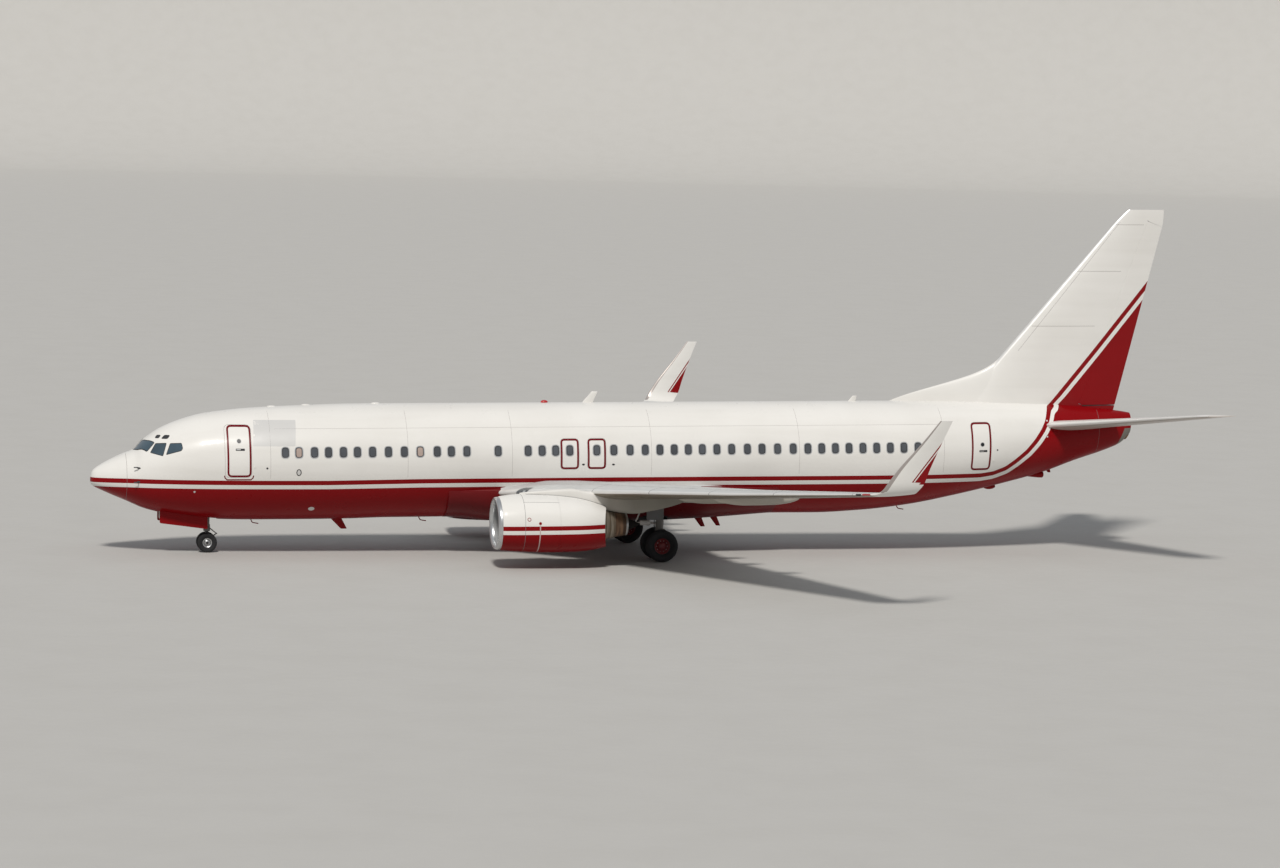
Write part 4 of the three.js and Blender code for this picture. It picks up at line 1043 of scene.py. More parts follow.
# Cockpit windows with their seals in the side view, on each side
COCKPIT_PANES = {
    "side_window": [(2.007, 0.307), (2.433, 0.205), (2.578, 0.649), (2.207, 0.622)],
    "rear_window": [(2.528, 0.248), (3.054, 0.395), (3.111, 0.476), (3.078, 0.663), (2.687, 0.642)],
    "front_eyebrow": [(2.195, 0.78), (2.324, 0.781), (2.418, 0.888), (2.29, 0.886)],
    "rear_eyebrow": [(2.4, 0.774), (2.615, 0.778), (2.715, 0.901), (2.53, 0.898)],
}
# The windscreen pane beside the middle post, as station and distance round a hull of the given radius
WINDSCREEN = [(1.51, 1.83), (1.64, 1.42), (1.91, 0.94), (2.165, 1.13), (1.93, 1.5), (1.81, 1.83)]
WINDSCREEN_RADIUS = 1.22


def build_cockpit():
    for side, hand in HANDS:
        at = hull_side(side)
        panes, brows, seals = [], [], []
        for name, corners in COCKPIT_PANES.items():
            flat = grown(outline(corners, 0.04, 0.05), -0.014)
            (brows if "eyebrow" in name else panes).append(slab(at, flat, 0.004, -0.01, 3, 0.002))
            seals.append(band(at, grown(flat, -0.004), grown(flat, 0.014), 0.006))
        flat = outline(WINDSCREEN, 0.04, 0.06)

        def over_nose(x, run, lift):
            angle = run / WINDSCREEN_RADIUS
            return on_hull(x, angle if side > 0 else np.pi - angle, lift)

        panes.append(slab(over_nose, flat, 0.004, -0.02, 6, 0.002))
        seals.append(band(over_nose, grown(flat, -0.004), grown(flat, 0.02), 0.006))
        piece("cockpit_panes_" + hand, panes, COCKPIT_GLASS)
        piece("cockpit_eyebrows_" + hand, brows, EYEBROW_GLASS)
        piece("cockpit_seals_" + hand, seals, SEAL)


# Belly fairing and the fillets over the wing roots
def fairing_rings():
    width, keel, squareness, edge = columns(FAIRING_ROWS)
    angle, t = np.linspace(0, np.pi / 2, 17), np.linspace(1, 0, 9)[:-1]
    rings = []
    for x in stations_of(FAIRING_ROWS, 64):
        power = 2 / squareness(x)
        y = width(x) * np.cos(angle) ** power
        z = FAIRING_LEVEL - (FAIRING_LEVEL - keel(x)) * np.sin(angle) ** power
        top = hull_side(1)(x, edge(x), -0.006)
        rise = curved(FAIRING_LEVEL, FAIRING_LEVEL * 0.35 + top[2] * 0.65, top[2], t)
        out = curved(width(x), width(x), top[1], t)
        half = points_of(x, np.concatenate([out, y]), np.concatenate([rise, z]))
        rings.append(np.vstack([half, (half * (1, -1, 1))[-2::-1]]))
    return rings


def build_fairings():
    shape = carved(loft(fairing_rings()), *[well_tool(side) for side, _ in HANDS])
    points = shape[0]
    inside = np.hypot(points[:, 0] - WELL["x"], np.abs(points[:, 1]) - WELL["y"]) < WELL["radius"] + 0.004
    depth = np.where(inside & (points[:, 2] > -2.2), 0.1, 0.0032)  # painted shade: the well walls near black, and the whole belly fairing darkened part of the way towards that near black
    values = {"stripe": -STRIPE_RANGE, "depth": depth}
    piece("belly_fairing_skin", shape, PAINT, replaces="belly_fairing", slot="red_paint", **values)
    upper, wide = columns(FILLET_ROWS)
    rings = []
    for x in stations_of(FILLET_ROWS, 60):
        top = hull_side(1)(x, upper(x), 0.003)
        y = top[1] + wide(x) + 0.05
        nose, tail = at_place(WING_ROWS, y, 1, 2)
        foot = WING(y, math.sqrt(min(max((x - nose) / (tail - nose), 0.0002), 1)), 0.002)
        corner = np.array([x, top[1] + 0.05, foot[2] + 0.04])
        curve = curved(top, corner, foot, np.linspace(0, 1, 11)[:, None])
        curve[:, 0] = x
        low, back = min(foot[2], top[2]) - 0.12, top[1] - 0.2
        rings.append(np.vstack([curve, [(x, foot[1], low), (x, back, low), (x, back, top[2])]]))
    both("wing_fillet_*", loft(rings), TAIL_PAINT, slot="grey_paint")


# Flying surfaces
def half_height(share, thickness, chord):
    """Half the height of a section at a share of its chord, with a blunt trailing edge."""
    root = 0.2969 * np.sqrt(share)
    rest = share * (-0.126 + share * (-0.3516 + share * (0.2843 - 0.1036 * share)))
    return 5 * thickness * (root + rest) * chord + BLUNT_EDGE / 2 * share


def foil_surface(rows, upright=False):
    """Skin of a wing over its span and a chord place from -1 to 1: 0 is the nose, 1 the tail above."""
    nose, tail, *rest = columns(rows, straight=True)
    level, drop, thickness = (None, None, *rest) if upright else rest

    def bare(span, place):
        share = place**2
        chord = tail(span) - nose(span)
        high = np.sign(place) * half_height(share, thickness(span), chord)
        x = nose(span) + share * chord
        if upright:
            return points_of(x, -high, span)
        return points_of(x, span, level(span) - drop(span) * share + high)

    return lambda span, place, lift=0.0: lifted(bare, span, place, lift, 1e-3)


def winglet_surface():
    rows = np.array(WINGLET_ROWS)
    length = np.concatenate([[0], np.cumsum(np.hypot(*np.diff(rows[:, :2], axis=0).T))])
    y, z, nose, tail, cant, thickness = (smooth_curve(length / length[-1], c) for c in rows.T)

    def bare(run, place):
        share = place**2
        chord = tail(run) - nose(run)
        high = np.sign(place) * half_height(share, thickness(run), chord)
        lean = np.radians(cant(run))
        x = nose(run) + share * chord
        return points_of(x, y(run) - high * np.sin(lean), z(run) + high * np.cos(lean))

    return bare


CHORDWISE = np.linspace(-1, 1, 43)


def foil_shape(bare, spans):
    spans = np.asarray(spans, float)
    return loft(bare(spans[:, None], CHORDWISE[None, :]))


def foil_spans(rows, step=0.6):
    keys = [row[0] for row in rows]
    runs = [np.linspace(a, b, max(2, math.ceil((b - a) / step) + 1))[:-1] for a, b in zip(keys, keys[1:])]
    return np.concatenate([*runs, [keys[-1]]])


def chord_share(rows, points):
    """Where points lie on the chord, from 0 at the nose to 1 at the tail."""
    nose, tail = at_place(rows, points[:, 1], 1, 2)
    return (points[:, 0] - nose) / (tail - nose)


def middle_level(rows, x, y):
    """The height of the middle of a section."""
    nose, tail, level, drop = at_place(rows, y, 1, 2, 3, 4)
    return level - drop * (x - nose) / (tail - nose)


def below_middle(rows, points):
    """1 for points on the underside of a wing, 0 for points on its upper side."""
    return (points[:, 2] < middle_level(rows, points[:, 0], points[:, 1])).astype(float)


def hinge_ends(rows, line):
    """Points in the middle of the section at both ends of a front line."""
    return [np.array([x, y, middle_level(rows, x, y)]) for x, y in line]


def room_behind(ends, across, ahead, past):
    """A block behind a front line, with its ends square to that line."""
    start, end = ends[0], ends[-1]
    along = unit(end - start)
    aft = unit(np.cross(along, across))
    high = np.cross(along, aft)
    length = np.linalg.norm(end - start)
    corners = []
    for run in (-past, length + past):
        flat = [(-ahead, -3), (6, -3), (6, 3), (-ahead, 3)]
        corners.append([start + along * run + aft * back + high * up for back, up in flat])
    return loft(corners)


def half_depth(rows, x, key, thickness=5):
    """Half the thickness of a section at a station. Thickness is its column."""
    nose, tail, thick = at_place(rows, key, 1, 2, thickness)
    return half_height((x - nose) / (tail - nose), thick, tail - nose)


def hinge_roll(ends, radii, across, over):
    """A tapered roll about a hinge line: the round front of what turns, or its trough."""
    along = unit(ends[-1] - ends[0])
    u = unit(np.cross(along, across))
    v = np.cross(along, u)
    c, s = circle(48)
    rings = []
    for centre, radius, way in zip(ends, radii, (-1, *[0] * (len(ends) - 2), 1)):
        rings.append(centre + along * way * over + radius * (c[:, None] * u + s[:, None] * v))
    return loft(rings)


def hinged_pair(whole, ends, radii, across):
    """A fixed surface with its trough, and the surface with a round front that turns in it."""
    fixed = carved(whole, room_behind(ends, across, 0, RUNNING_GAP))
    fixed = carved(fixed, hinge_roll(ends, [r + 0.006 for r in radii], across, 0.02))
    moving = carved(whole, room_behind(ends, across, 0, 0), keep=True)
    return fixed, joined(moving, hinge_roll(ends, [r - 0.001 for r in radii], across, -0.001))


LEVEL = np.array([0.0, 0.0, 1.0])
WING = foil_surface(WING_ROWS)
STABILISER = foil_surface(STABILISER_ROWS)
FIN = foil_surface(FIN_ROWS, upright=True)


def wing_seams():
    def across(places, start, end, width=0.012, step=0.05):
        return [seam(WING, [(y, start), (y, end)], width, step=step) for y in places]

    return [
        seam(WING, [(2.3, 0.36), (4.6, 0.36), (5.2, 0.36), (16.5, 0.37)]),
        seam(WING, [(2.3, -0.3), (4.6, -0.3), (5.2, -0.3), (16.5, -0.3)]),
        *[seam(WING, [(y, -0.3), (y, -0.1), (y, 0.05), (y, 0.37)], 0.018, step=0.05) for y in SLAT_BREAKS],
        *across(SPOILER_BREAKS, 0.78, 0.86),
        seam(WING, [(SPOILER_BREAKS[0], 0.78), (SPOILER_BREAKS[-1], 0.78)]),
        *across((2.5, 4.5), 0.83, 0.905),
        seam(WING, [(2.5, 0.83), (4.5, 0.83)]),
        seam(WING, [(2.4, -0.74), (16.6, -0.74)]),
        *across(UNDERSIDE_BREAKS, -0.74, -0.3, 0.008, 0.1),
    ]


def build_wings():
    whole = foil_shape(WING, foil_spans(WING_ROWS))
    radii = [half_depth(WING_ROWS, x, y) for x, y in AILERON]
    fixed, aileron = hinged_pair(whole, hinge_ends(WING_ROWS, AILERON), radii, LEVEL)
    both("aileron_skin_*", aileron, TAIL_PAINT, "aileron_*", "aileron_*", slot="grey_paint")
    for name, line in (("flap_outer", OUTER_FLAP), ("flap_inner", INNER_FLAP)):
        front = hinge_ends(WING_ROWS, line)
        fixed = carved(fixed, room_behind(front, LEVEL, SURFACE_GAP, SURFACE_GAP))
        flap = carved(whole, room_behind(front, LEVEL, 0, 0), keep=True)
        both(name + "_skin_*", flap, TAIL_PAINT, replaces=name + "_*", slot="grey_paint")
    under = below_middle(WING_ROWS, fixed[0])
    reach = np.where(under > 0.5, 4.5, 2.2)  # the bare edge reaches less far below
    edge = chord_share(WING_ROWS, fixed[0]) * reach
    both("wing_skin_*", fixed, WING_PAINT, replaces="wing_*", slot="grey_paint", edge=edge, under=under)
    both("wing_seams_*", wing_seams(), SEAM_PAINT)
    both("flap_track_fairings_*", [canoe(y) for y in CANOE_PLACES], CANOE_PAINT, slot="grey_paint")


def build_winglets():
    shape = foil_shape(winglet_surface(), np.linspace(0, 1, 44))
    x, _, z = shape[0].T
    (x0, z0), (x1, z1) = WINGLET_STRIPE
    above = ((z - z0) * (x1 - x0) - (x - x0) * (z1 - z0)) / math.hypot(x1 - x0, z1 - z0)
    shares = np.tile(CHORDWISE**2, len(x) // len(CHORDWISE))
    both(
        "winglet_skin_*",
        shape,
        WINGLET_PAINT,
        replaces="winglet_*",
        slot="white_paint",
        stripe=np.where(z > 0.75, above * WINGLET_STRIPE_SCALE, 1),
        edge=np.where(z > 0.45, shares * 0.26, 1),
    )


def build_wing_lights():
    lens = outline([(2.36, -0.17), (2.68, -0.17), (2.77, 0.17), (2.46, 0.17)], 0.05, 0.05)
    lamp = outline([(2.59, -0.05), (2.67, -0.05), (2.69, 0.07), (2.61, 0.07)], 0.03, 0.05)
    strobe = rounded_box(16.54, 16.76, -0.13, 0.13, 0.03, 0.05)
    tip = slab(WING, rounded_box(16.8, 17.12, -0.16, 0.16, 0.06, 0.05), 0.004, -0.02, 4)
    both("landing_light_*", slab(WING, lens, 0.004, -0.02, 4), LENS)
    both("landing_light_rim_*", band(WING, lens, grown(lens, 0.02), 0.006), STAINLESS)
    both("landing_lamp_*", slab(WING, lamp, 0.007, -0.01, 2), LAMP)
    both("strobe_housing_*", slab(WING, strobe, 0.003, -0.02, 4), SEAL)
    for side, hand in HANDS:
        piece("navigation_light_" + hand, sided(tip, side), NAVIGATION[side])


def canoe(y):
    """A flap track fairing under the wing."""
    tail, level, drop = at_place(WING_ROWS, y, 2, 3, 4)
    start = tail + CANOE["overhang"] - CANOE["length"]
    shares = [0, 0.03, 0.14, 0.4, 0.7, 0.88, 0.97, 1]
    fullness = smooth_curve(shares, [0.02, 0.3, 0.72, 1, 0.97, 0.8, 0.56, 0.4])
    c, s = circle(28)
    high = np.where(s > 0, 0.13, CANOE["depth"])
    rings = []
    for share in np.concatenate([[0, 0.01], np.linspace(0.03, 0.97, 28), [0.99, 1]]):
        full = fullness(share)
        x, across = start + share * CANOE["length"], CANOE["half_width"] * full * c
        rings.append(points_of(x, y + across, level - drop - 0.09 + high * full * s))
    return loft(rings)


def ellipsoid(centre, radii, sides=20):
    """A rounded body about a point."""
    turns = np.linspace(0.02, np.pi - 0.02, sides // 2 + 1)
    c, s = circle(sides)
    rings = [points_of(-math.cos(a), math.sin(a) * c, math.sin(a) * s) for a in turns]
    return loft(np.asarray(centre) + np.asarray(radii) * np.array(rings))


# Tail
def build_fin():
    whole = foil_shape(FIN, foil_spans(FIN_ROWS))
    ends = [np.array([x, 0, z]) for x, z in RUDDER]
    radii = [half_depth(FIN_ROWS, x, z, 3) for x, z in RUDDER]
    fixed, rudder = hinged_pair(whole, ends, radii, np.array([0.0, -1.0, 0.0]))
    foot = RUDDER[0][1] - RUDDER_DROP
    rudder = carved(rudder, block((30, -1, -1), (42, 1, foot)))
    root = carved(whole, block((35.6, -1, 0), (42, 1, foot - ROOT_DROP)), keep=True)
    for name, shape, body, slot in (
        ("fin", joined(fixed, root), "airframe", "white_paint"),
        ("rudder", rudder, "rudder", "red_paint"),
    ):
        points = shape[0]
        edge = np.clip((points[:, 0] - at_place(FIN_ROWS, points[:, 2], 1)[0]) / 4, 0, 1)
        piece(name + "_skin", shape, FIN_PAINT, body, name, slot, stripe=stripe_distance(points), edge=edge)
    rings, t = [], np.linspace(-1, 1, 25)
    for z in stations_of(DORSAL_ROWS, 40):
        nose, tail, half, power = (column(z) for column in columns(DORSAL_ROWS))
        rings.append(points_of(nose + (tail - nose) * t**2, half * signed_power(t, power), z))
    values = {"stripe": 1, "edge": 1}
    piece("dorsal_fin_skin", loft(rings), FIN_PAINT, replaces="dorsal_fin", slot="white_paint", **values)
    lines = [seam(FIN, [(z, s * 0.2), (z, s * 0.78)], 0.01, step=0.02) for s in (-1, 1) for z in FIN_SEAMS]
    lines += [seam(FIN, [(3.7, s * 0.3), (8.4, s * 0.3)], 0.008) for s in (-1, 1)]
    piece("fin_seams", lines, FAINT_SEAM)
    low = foot - 0.02
    seals = [seam(FIN, [(low, s * 0.885), (low, s * 0.998)], 0.024, 0.005, 0.02) for s in (-1, 1)]
    piece("rudder_foot_seals", seals, SEAL)


def build_stabilisers():
    whole = foil_shape(STABILISER, foil_spans(STABILISER_ROWS))
    radii = [half_depth(STABILISER_ROWS, x, y) for x, y in ELEVATOR]
    fixed, elevator = hinged_pair(whole, hinge_ends(STABILISER_ROWS, ELEVATOR), radii, LEVEL)
    points = fixed[0]
    values = {"edge": chord_share(STABILISER_ROWS, points), "under": below_middle(STABILISER_ROWS, points)}
    both("stabiliser_*_skin", fixed, STABILISER_PAINT, replaces="stabiliser_*", slot="grey_paint", **values)
    both("elevator_*_skin", elevator, TAIL_PAINT, "elevator_*", "elevator_*", slot="grey_paint")
    across = [[(y, s * 0.25), (y, s * 0.75)] for s in (-1, 1) for y in STABILISER_SEAMS]
    along = [[(1.2, s * 0.26), (6.9, s * 0.26)] for s in (-1, 1)]
    lines = [seam(STABILISER, path, 0.008) for path in across + along]
    both("stabiliser_seams_*", lines, SEAM_PAINT)


# Engines, drawn on the starboard side
nacelle_half_width, nacelle_crown, nacelle_keel = columns(NACELLE_ROWS)
duct_radius, duct_level = columns(DUCT_ROWS)


def nacelle_bare(x, angle):
    c, s = np.cos(angle), np.sin(angle)
    power = np.where(s < 0, 0.86, 1.0)  # the underside is flattened
    half = np.where(s > 0, nacelle_crown(x) - NACELLE_LEVEL, NACELLE_LEVEL - nacelle_keel(x))
    y = ENGINE_Y + nacelle_half_width(x) * signed_power(c, power)
    return points_of(x, y, NACELLE_LEVEL + half * signed_power(s, power))


def on_nacelle(x, angle, lift=0.0):
    return lifted(nacelle_bare, x, angle, lift)


def duct_ring(x, angle, grow=0.0):
    radius = duct_radius(x) + grow
    return points_of(x, ENGINE_Y + radius * np.cos(angle), duct_level(x) + radius * np.sin(angle))


AROUND = around(96, 0.5)


def nacelle_wall(start, end, step=0.09):
    """The nacelle between two stations, from its outer skin to the duct inside."""
    stations = np.linspace(start, end, math.ceil((end - start) / step) + 1)
    outer = nacelle_bare(stations[:, None], AROUND[None, :])
    inner = duct_ring(stations[::-1][:, None], AROUND[None, :])
    rings = np.concatenate([outer, inner])
    share = np.clip((rings[..., 0] - RAKE_START) / (NACELLE_END - RAKE_START), 0, 1)
    rings[..., 0] -= SLEEVE_RAKE * share * np.abs(np.cos(AROUND)) ** 1.5
    return loft(rings, loop=True)


def inlet_lip():
    """The polished ring at the mouth of the nacelle, rounded from the outer skin to the duct."""
    outer, inner = nacelle_bare(LIP_SEAM, AROUND), duct_ring(LIP_SEAM, AROUND)
    rings = []
    for turn in np.linspace(0, np.pi, 29):
        share = (1 - math.cos(turn)) / 2
        ring = outer * (1 - share) + inner * share
        ring[:, 0] = LIP_SEAM - (LIP_SEAM - NACELLE_ROWS[0][0]) * math.sin(turn) ** 0.9
        rings.append(ring)
    return loft(rings, loop=True)


def fan_blade(turn):
    """One twisted blade, thin at its tip and curved along its chord."""
    rings = []
    for share in np.linspace(0, 1, 9):
        radius = FAN["hub"] - 0.03 + (FAN["tip"] - FAN["hub"] + 0.03) * share
        pitch = math.radians(38 + 24 * share)
        chord = 0.185 + 0.05 * math.sin(share * 2.6)
        thick = 0.02 * (1 - 0.6 * share)
        sweep = 0.03 * math.sin(share * np.pi)
        t = np.linspace(-0.5, 0.5, 9)
        camber = 0.06 * chord * (1 - (2 * t) ** 2)
        half = thick / 2 * np.sqrt(np.maximum(1 - (2 * t) ** 2, 0)) + 0.0008
        along = np.concatenate([t, t[::-1]]) * chord
        side = np.concatenate([camber + half, (camber - half)[::-1]])
        x = FAN["x"] - sweep + along * math.cos(pitch) - side * math.sin(pitch)
        across = along * math.sin(pitch) + side * math.cos(pitch)
        angle = turn + across / radius
        rings.append(points_of(x, ENGINE_Y + radius * np.sin(angle), FAN["z"] + radius * np.cos(angle)))
    return loft(rings)


def spinner_bare(share, angle):
    """The spinner's skin over a share of its length from the tip."""
    back = FAN["x"] + FAN["depth"] / 2
    tip = FAN["x"] - FAN["depth"] / 2 - FAN["nose"]
    length = np.minimum(share / 0.8, 1)
    radius = FAN["hub"] * np.sin(length * np.pi / 2) ** 0.8 + 0.001
    x = tip + (back - tip) * share
    return points_of(x, ENGINE_Y + radius * np.cos(angle), FAN["z"] + radius * np.sin(angle))


def on_spinner(share, angle, lift):
    return lifted(spinner_bare, share, angle, lift, 1e-3)


def round_the_axis(shape, level, count):
    """Copies of a shape all round the engine."""
    points, faces = shape
    made = []
    for i in range(count):
        turn = Matrix.Translation((0, ENGINE_Y, level)) @ Matrix.Rotation(2 * np.pi * i / count, 4, "X")
        made.append((placed(points, turn), faces))
    return made


def turned(profile, sides=96, loop=True):
    """A profile turned about the axis of the core."""
    return lathe(profile, (0, ENGINE_Y, CORE_Z), (1, 0, 0), sides, loop)


def pylon_shape():
    half, foot, head = columns(PYLON_ROWS)
    c, s = (signed_power(way, 0.5) for way in circle(32, 0.5))
    rings = []
    for x in stations_of(PYLON_ROWS, 56):
        middle, high = (foot(x) + head(x)) / 2, (head(x) - foot(x)) / 2
        rings.append(points_of(x, ENGINE_Y + half(x) * c, middle + high * s))
    return loft(rings)


def nacelle_lines():
    """Joints between the panels of a nacelle, and along the foot of the pylon."""
    all_round = np.linspace(0.5 * np.pi, 2.5 * np.pi, 97)
    lines = [seam(on_nacelle, np.stack([np.full(97, COWL_SEAM), all_round], 1))]
    lines += [seam(on_nacelle, [(COWL_SEAM, a), (SLEEVE_SEAM, a)]) for a in np.radians((52, 128))]
    lines.append(seam(on_nacelle, [(LIP_SEAM, -np.pi / 2), (NACELLE_END - 0.02, -np.pi / 2)]))
    stations = np.linspace(14.5, NACELLE_END - 0.03, 30)
    reach = np.arcsin((columns(PYLON_ROWS)[0](stations) + 0.012) / nacelle_half_width(stations))
    for way in (-1, 1):
        lines.append(seam(on_nacelle, np.stack([stations, np.pi / 2 + way * reach], 1), 0.024, 0.006))
    return lines


def build_nacelles():
    cowl = nacelle_wall(LIP_SEAM + 0.002, SLEEVE_SEAM - 0.004)
    for name, shape in (("fan_cowl", cowl), ("reverser_sleeve", nacelle_wall(SLEEVE_SEAM, NACELLE_END))):
        x, y, z = shape[0].T
        inner = np.hypot(y - ENGINE_Y, z - duct_level(x)) < duct_radius(x) + 0.004
        stripe = np.where(inner, 1, (z - NACELLE_STRIPE["level"]) * NACELLE_STRIPE["scale"])
        values = {"stripe": stripe, "depth": 0}
        both(name + "_skin_*", shape, PAINT, replaces=name + "_*", slot="white_paint", **values)
    both("inlet_lip_skin_*", inlet_lip(), POLISHED, replaces="inlet_lip_*", slot="bare_metal")
    stations = np.linspace(LIP_SEAM, FAN["x"] - 0.12, 8)
    liner = [duct_ring(x, AROUND, -0.003) for x in stations]
    liner += [duct_ring(x, AROUND, 0.01) for x in stations[::-1]]
    both("inlet_barrel_*", loft(liner, loop=True), LINER)
    both("nacelle_strake_*", nacelle_strake(), WHITE_PAINT)
    both("nacelle_seams_*", nacelle_lines(), SEAM_PAINT)
    latches = [
        slab(on_nacelle, rounded_box(x - 0.05, x + 0.05, a - 0.02, a + 0.02, 0.01), 0.003, -0.002, 1)
        for x in (14.5, 14.85, 15.2)
        for a in np.radians((-82, -98))
    ]
    both("cowl_latches_*", latches, STAINLESS)
    faded = seam(on_nacelle, [(COWL_BAND, 0.04), (COWL_BAND, -1.5)], 0.036, 0.002, 0.08)
    both("cowl_band_*", faded, FADED_PAINT)
    inner, outer = (oval(14.46, 0.24, radius, radius, 24) for radius in (0.045, 0.065))
    dot = slab(on_nacelle, oval(COWL_BAND, 0.105, 0.05, 0.05, 24), 0.004, -0.002, 2)
    both("cowl_marks_*", [dot, band(on_nacelle, inner, outer, 0.002)], RED_PAINT)


def build_engines():
    blades = [fan_blade(2 * np.pi * i / FAN["blades"]) for i in range(FAN["blades"])]
    both("fan_blades_*", blades, TITANIUM, "fan_*", "fan_*", slot="dark_metal")
    spinner = loft(spinner_bare(np.linspace(0, 1, 30)[:, None] ** 1.3, AROUND[None, ::2]))
    both("spinner_*", spinner, SPINNER_PAINT, "fan_*", slot="dark_metal")
    turns = np.linspace(0, 1, 40)
    swirl = np.stack([0.1 + 0.42 * turns, turns * 4.6], 1)
    both("spinner_swirl_*", seam(on_spinner, swirl, 0.035, 0.002, 9), WHITE_PAINT, "fan_*")
    vanes = round_the_axis(block((14.86, -0.008, 0.42), (15.02, 0.008, 0.785), 0.003), GUIDE_VANE_Z, 36)
    vanes += round_the_axis(block((15.05, -0.018, 0.45), (15.45, 0.018, 0.84), 0.008), CORE_Z + 0.04, 6)
    both("guide_vanes_*", vanes, LINER)
    core = turned(CORE_COWL, loop=False)
    both("core_cowl_*", core, CORE_METAL, replaces="engine_core_*", slot="nozzle_metal")
    both("nozzle_collar_*", turned(COLLAR), CORE_METAL, slot="nozzle_metal", sharp=20)
    both("nozzle_*", turned(NOZZLE), BRONZE, slot="nozzle_metal", sharp=40)
    both("nozzle_rim_*", turned(NOZZLE_RIM), STAINLESS, slot="nozzle_metal")
    both("nozzle_plug_*", turned(PLUG, 72, loop=False), PLUG_SOOT_AND_SHADE, slot="nozzle_metal")
    pylon = pylon_shape()
    both("pylon_skin_*", pylon, PYLON_PAINT, replaces="pylon_*", slot="white_paint", aft=pylon[0][:, 0])


def nacelle_strake():
    """The small fin on the inboard side of a nacelle."""
    angle = np.radians(140)
    rings = []
    for offset in (-0.012, 0.012):
        rings.append([on_nacelle(x, angle + offset / 1.05 * (1 - 3 * up), up - 0.01) for x, up in STRAKE])
    return loft(rings)


# Landing gear, drawn from the ground with x from the nose
# Shares of the half width, and of the way from the rim to the tread
TYRE_PROFILE = [(0.5, 0.0), (0.72, 0.22), (0.93, 0.42), (1.0, 0.62), (0.94, 0.82), (0.8, 0.93), (0.66, 0.98)]
GROOVES = [0.1, 0.34, 0.56]  # shares of the half width
HOSES = [  # path from the foot of a main leg, and radius
    ([(-0.12, -0.1, 2.1), (-0.17, -0.1, 1.3), (-0.1, -0.12, 0.72)], 0.011),
    ([(-0.12, 0.02, 2.1), (-0.19, 0.02, 1.4), (-0.16, 0.05, 1.0), (-0.1, 0.13, 0.72)], 0.011),
    ([(0.13, -0.05, 1.9), (0.15, -0.05, 1.3), (0.13, -0.1, 1.12)], 0.008),
]


def gear_tyre(gear, y):
    """A tyre with a rounded sidewall and grooves round its tread. Rows run from the bead to the tread."""
    half, rim, radius = gear["width"] / 2, gear["rim"], gear["tyre"]
    side = [(half * across, rim + (radius - rim) * up) for across, up in TYRE_PROFILE]
    tread = []
    for groove in reversed(GROOVES):
        level = radius - 0.012 * (groove / 0.6) ** 2
        for aside, low in ((0.05, 0), (0.04, 0.009), (-0.04, 0.009), (-0.05, 0)):
            tread.append((half * (groove + aside), level - low * radius / MAIN["tyre"]))
    outer = side + tread
    profile = outer + [(-along, r) for along, r in reversed(outer)]
    return lathe(profile, (gear["x"], y, radius), (0, 1, 0), 96, loop=True)


def gear_wheel(gear, y, outward):
    """A rim with its dished face outwards, bolts round it and a hub cap."""
    half, rim, radius = gear["width"] / 2, gear["rim"], gear["tyre"]
    hub = gear["axle"] * 1.9
    back = [(-0.58, 0.0), (-0.58, 0.6), (-0.62, 0.97), (-0.66, 1.04), (-0.58, 1.06), (-0.5, 0.99)]
    face = [(0.5, 0.99), (0.58, 1.06), (0.66, 1.04), (0.6, 0.93), (0.44, 0.84), (0.3, 0.74), (0.22, 0.6)]
    profile = [(along, share * rim) for along, share in back + face]
    profile += [(0.3, hub * 1.15), (0.6, hub), (0.66, hub * 0.85), (0.68, 0.0)]
    middle = np.array([gear["x"], y, radius])
    body = lathe([(along * half * outward, r) for along, r in profile], middle, (0, 1, 0), 72)
    bolts = []
    for angle in around(10):
        spot = middle + rim * 0.72 * np.array([math.cos(angle), 0, math.sin(angle)])
        start = spot + (0, half * outward * 0.2, 0)
        bolts.append(rod(start, start + (0, half * outward * 0.16, 0), rim * 0.05, 10, 0.002))
    return body, joined(*bolts)


def link_arm(hinge, knee, wide, narrow, thick):
    """A flat tapered arm of a torque link."""
    hinge, knee = np.array(hinge, float), np.array(knee, float)
    along = unit(knee - hinge)
    up = unit(np.cross(along, (0, 1, 0)))
    rings = []
    for share, half, deep in ((0, wide, 1.0), (0.12, wide, 1.0), (0.9, narrow, 0.8), (1, narrow, 0.8)):
        spot = hinge + (knee - hinge) * share
        corners = [(-1, -1), (1, -1), (1, 1), (-1, 1)]
        rings.append([spot + np.array([0, half * a, 0]) + up * thick / 2 * deep * b for a, b in corners])
    return loft(rings)


def torque_links(x, y, upper, lower, reach, wide, thick):
    """Two arms from hinges on a leg to a knee, with a pin at each."""
    knee = (x + reach, y, (upper + lower) / 2)
    parts = [link_arm((x, y, z), knee, wide, wide * 0.4, thick) for z in (upper, lower)]
    for spot, half in (((x, y, upper), wide), (knee, wide * 0.5), ((x, y, lower), wide)):
        spot = np.array(spot)
        parts.append(rod(spot - (0, half + 0.02, 0), spot + (0, half + 0.02, 0), thick * 0.62, 16, 0.002))
    return joined(*parts)


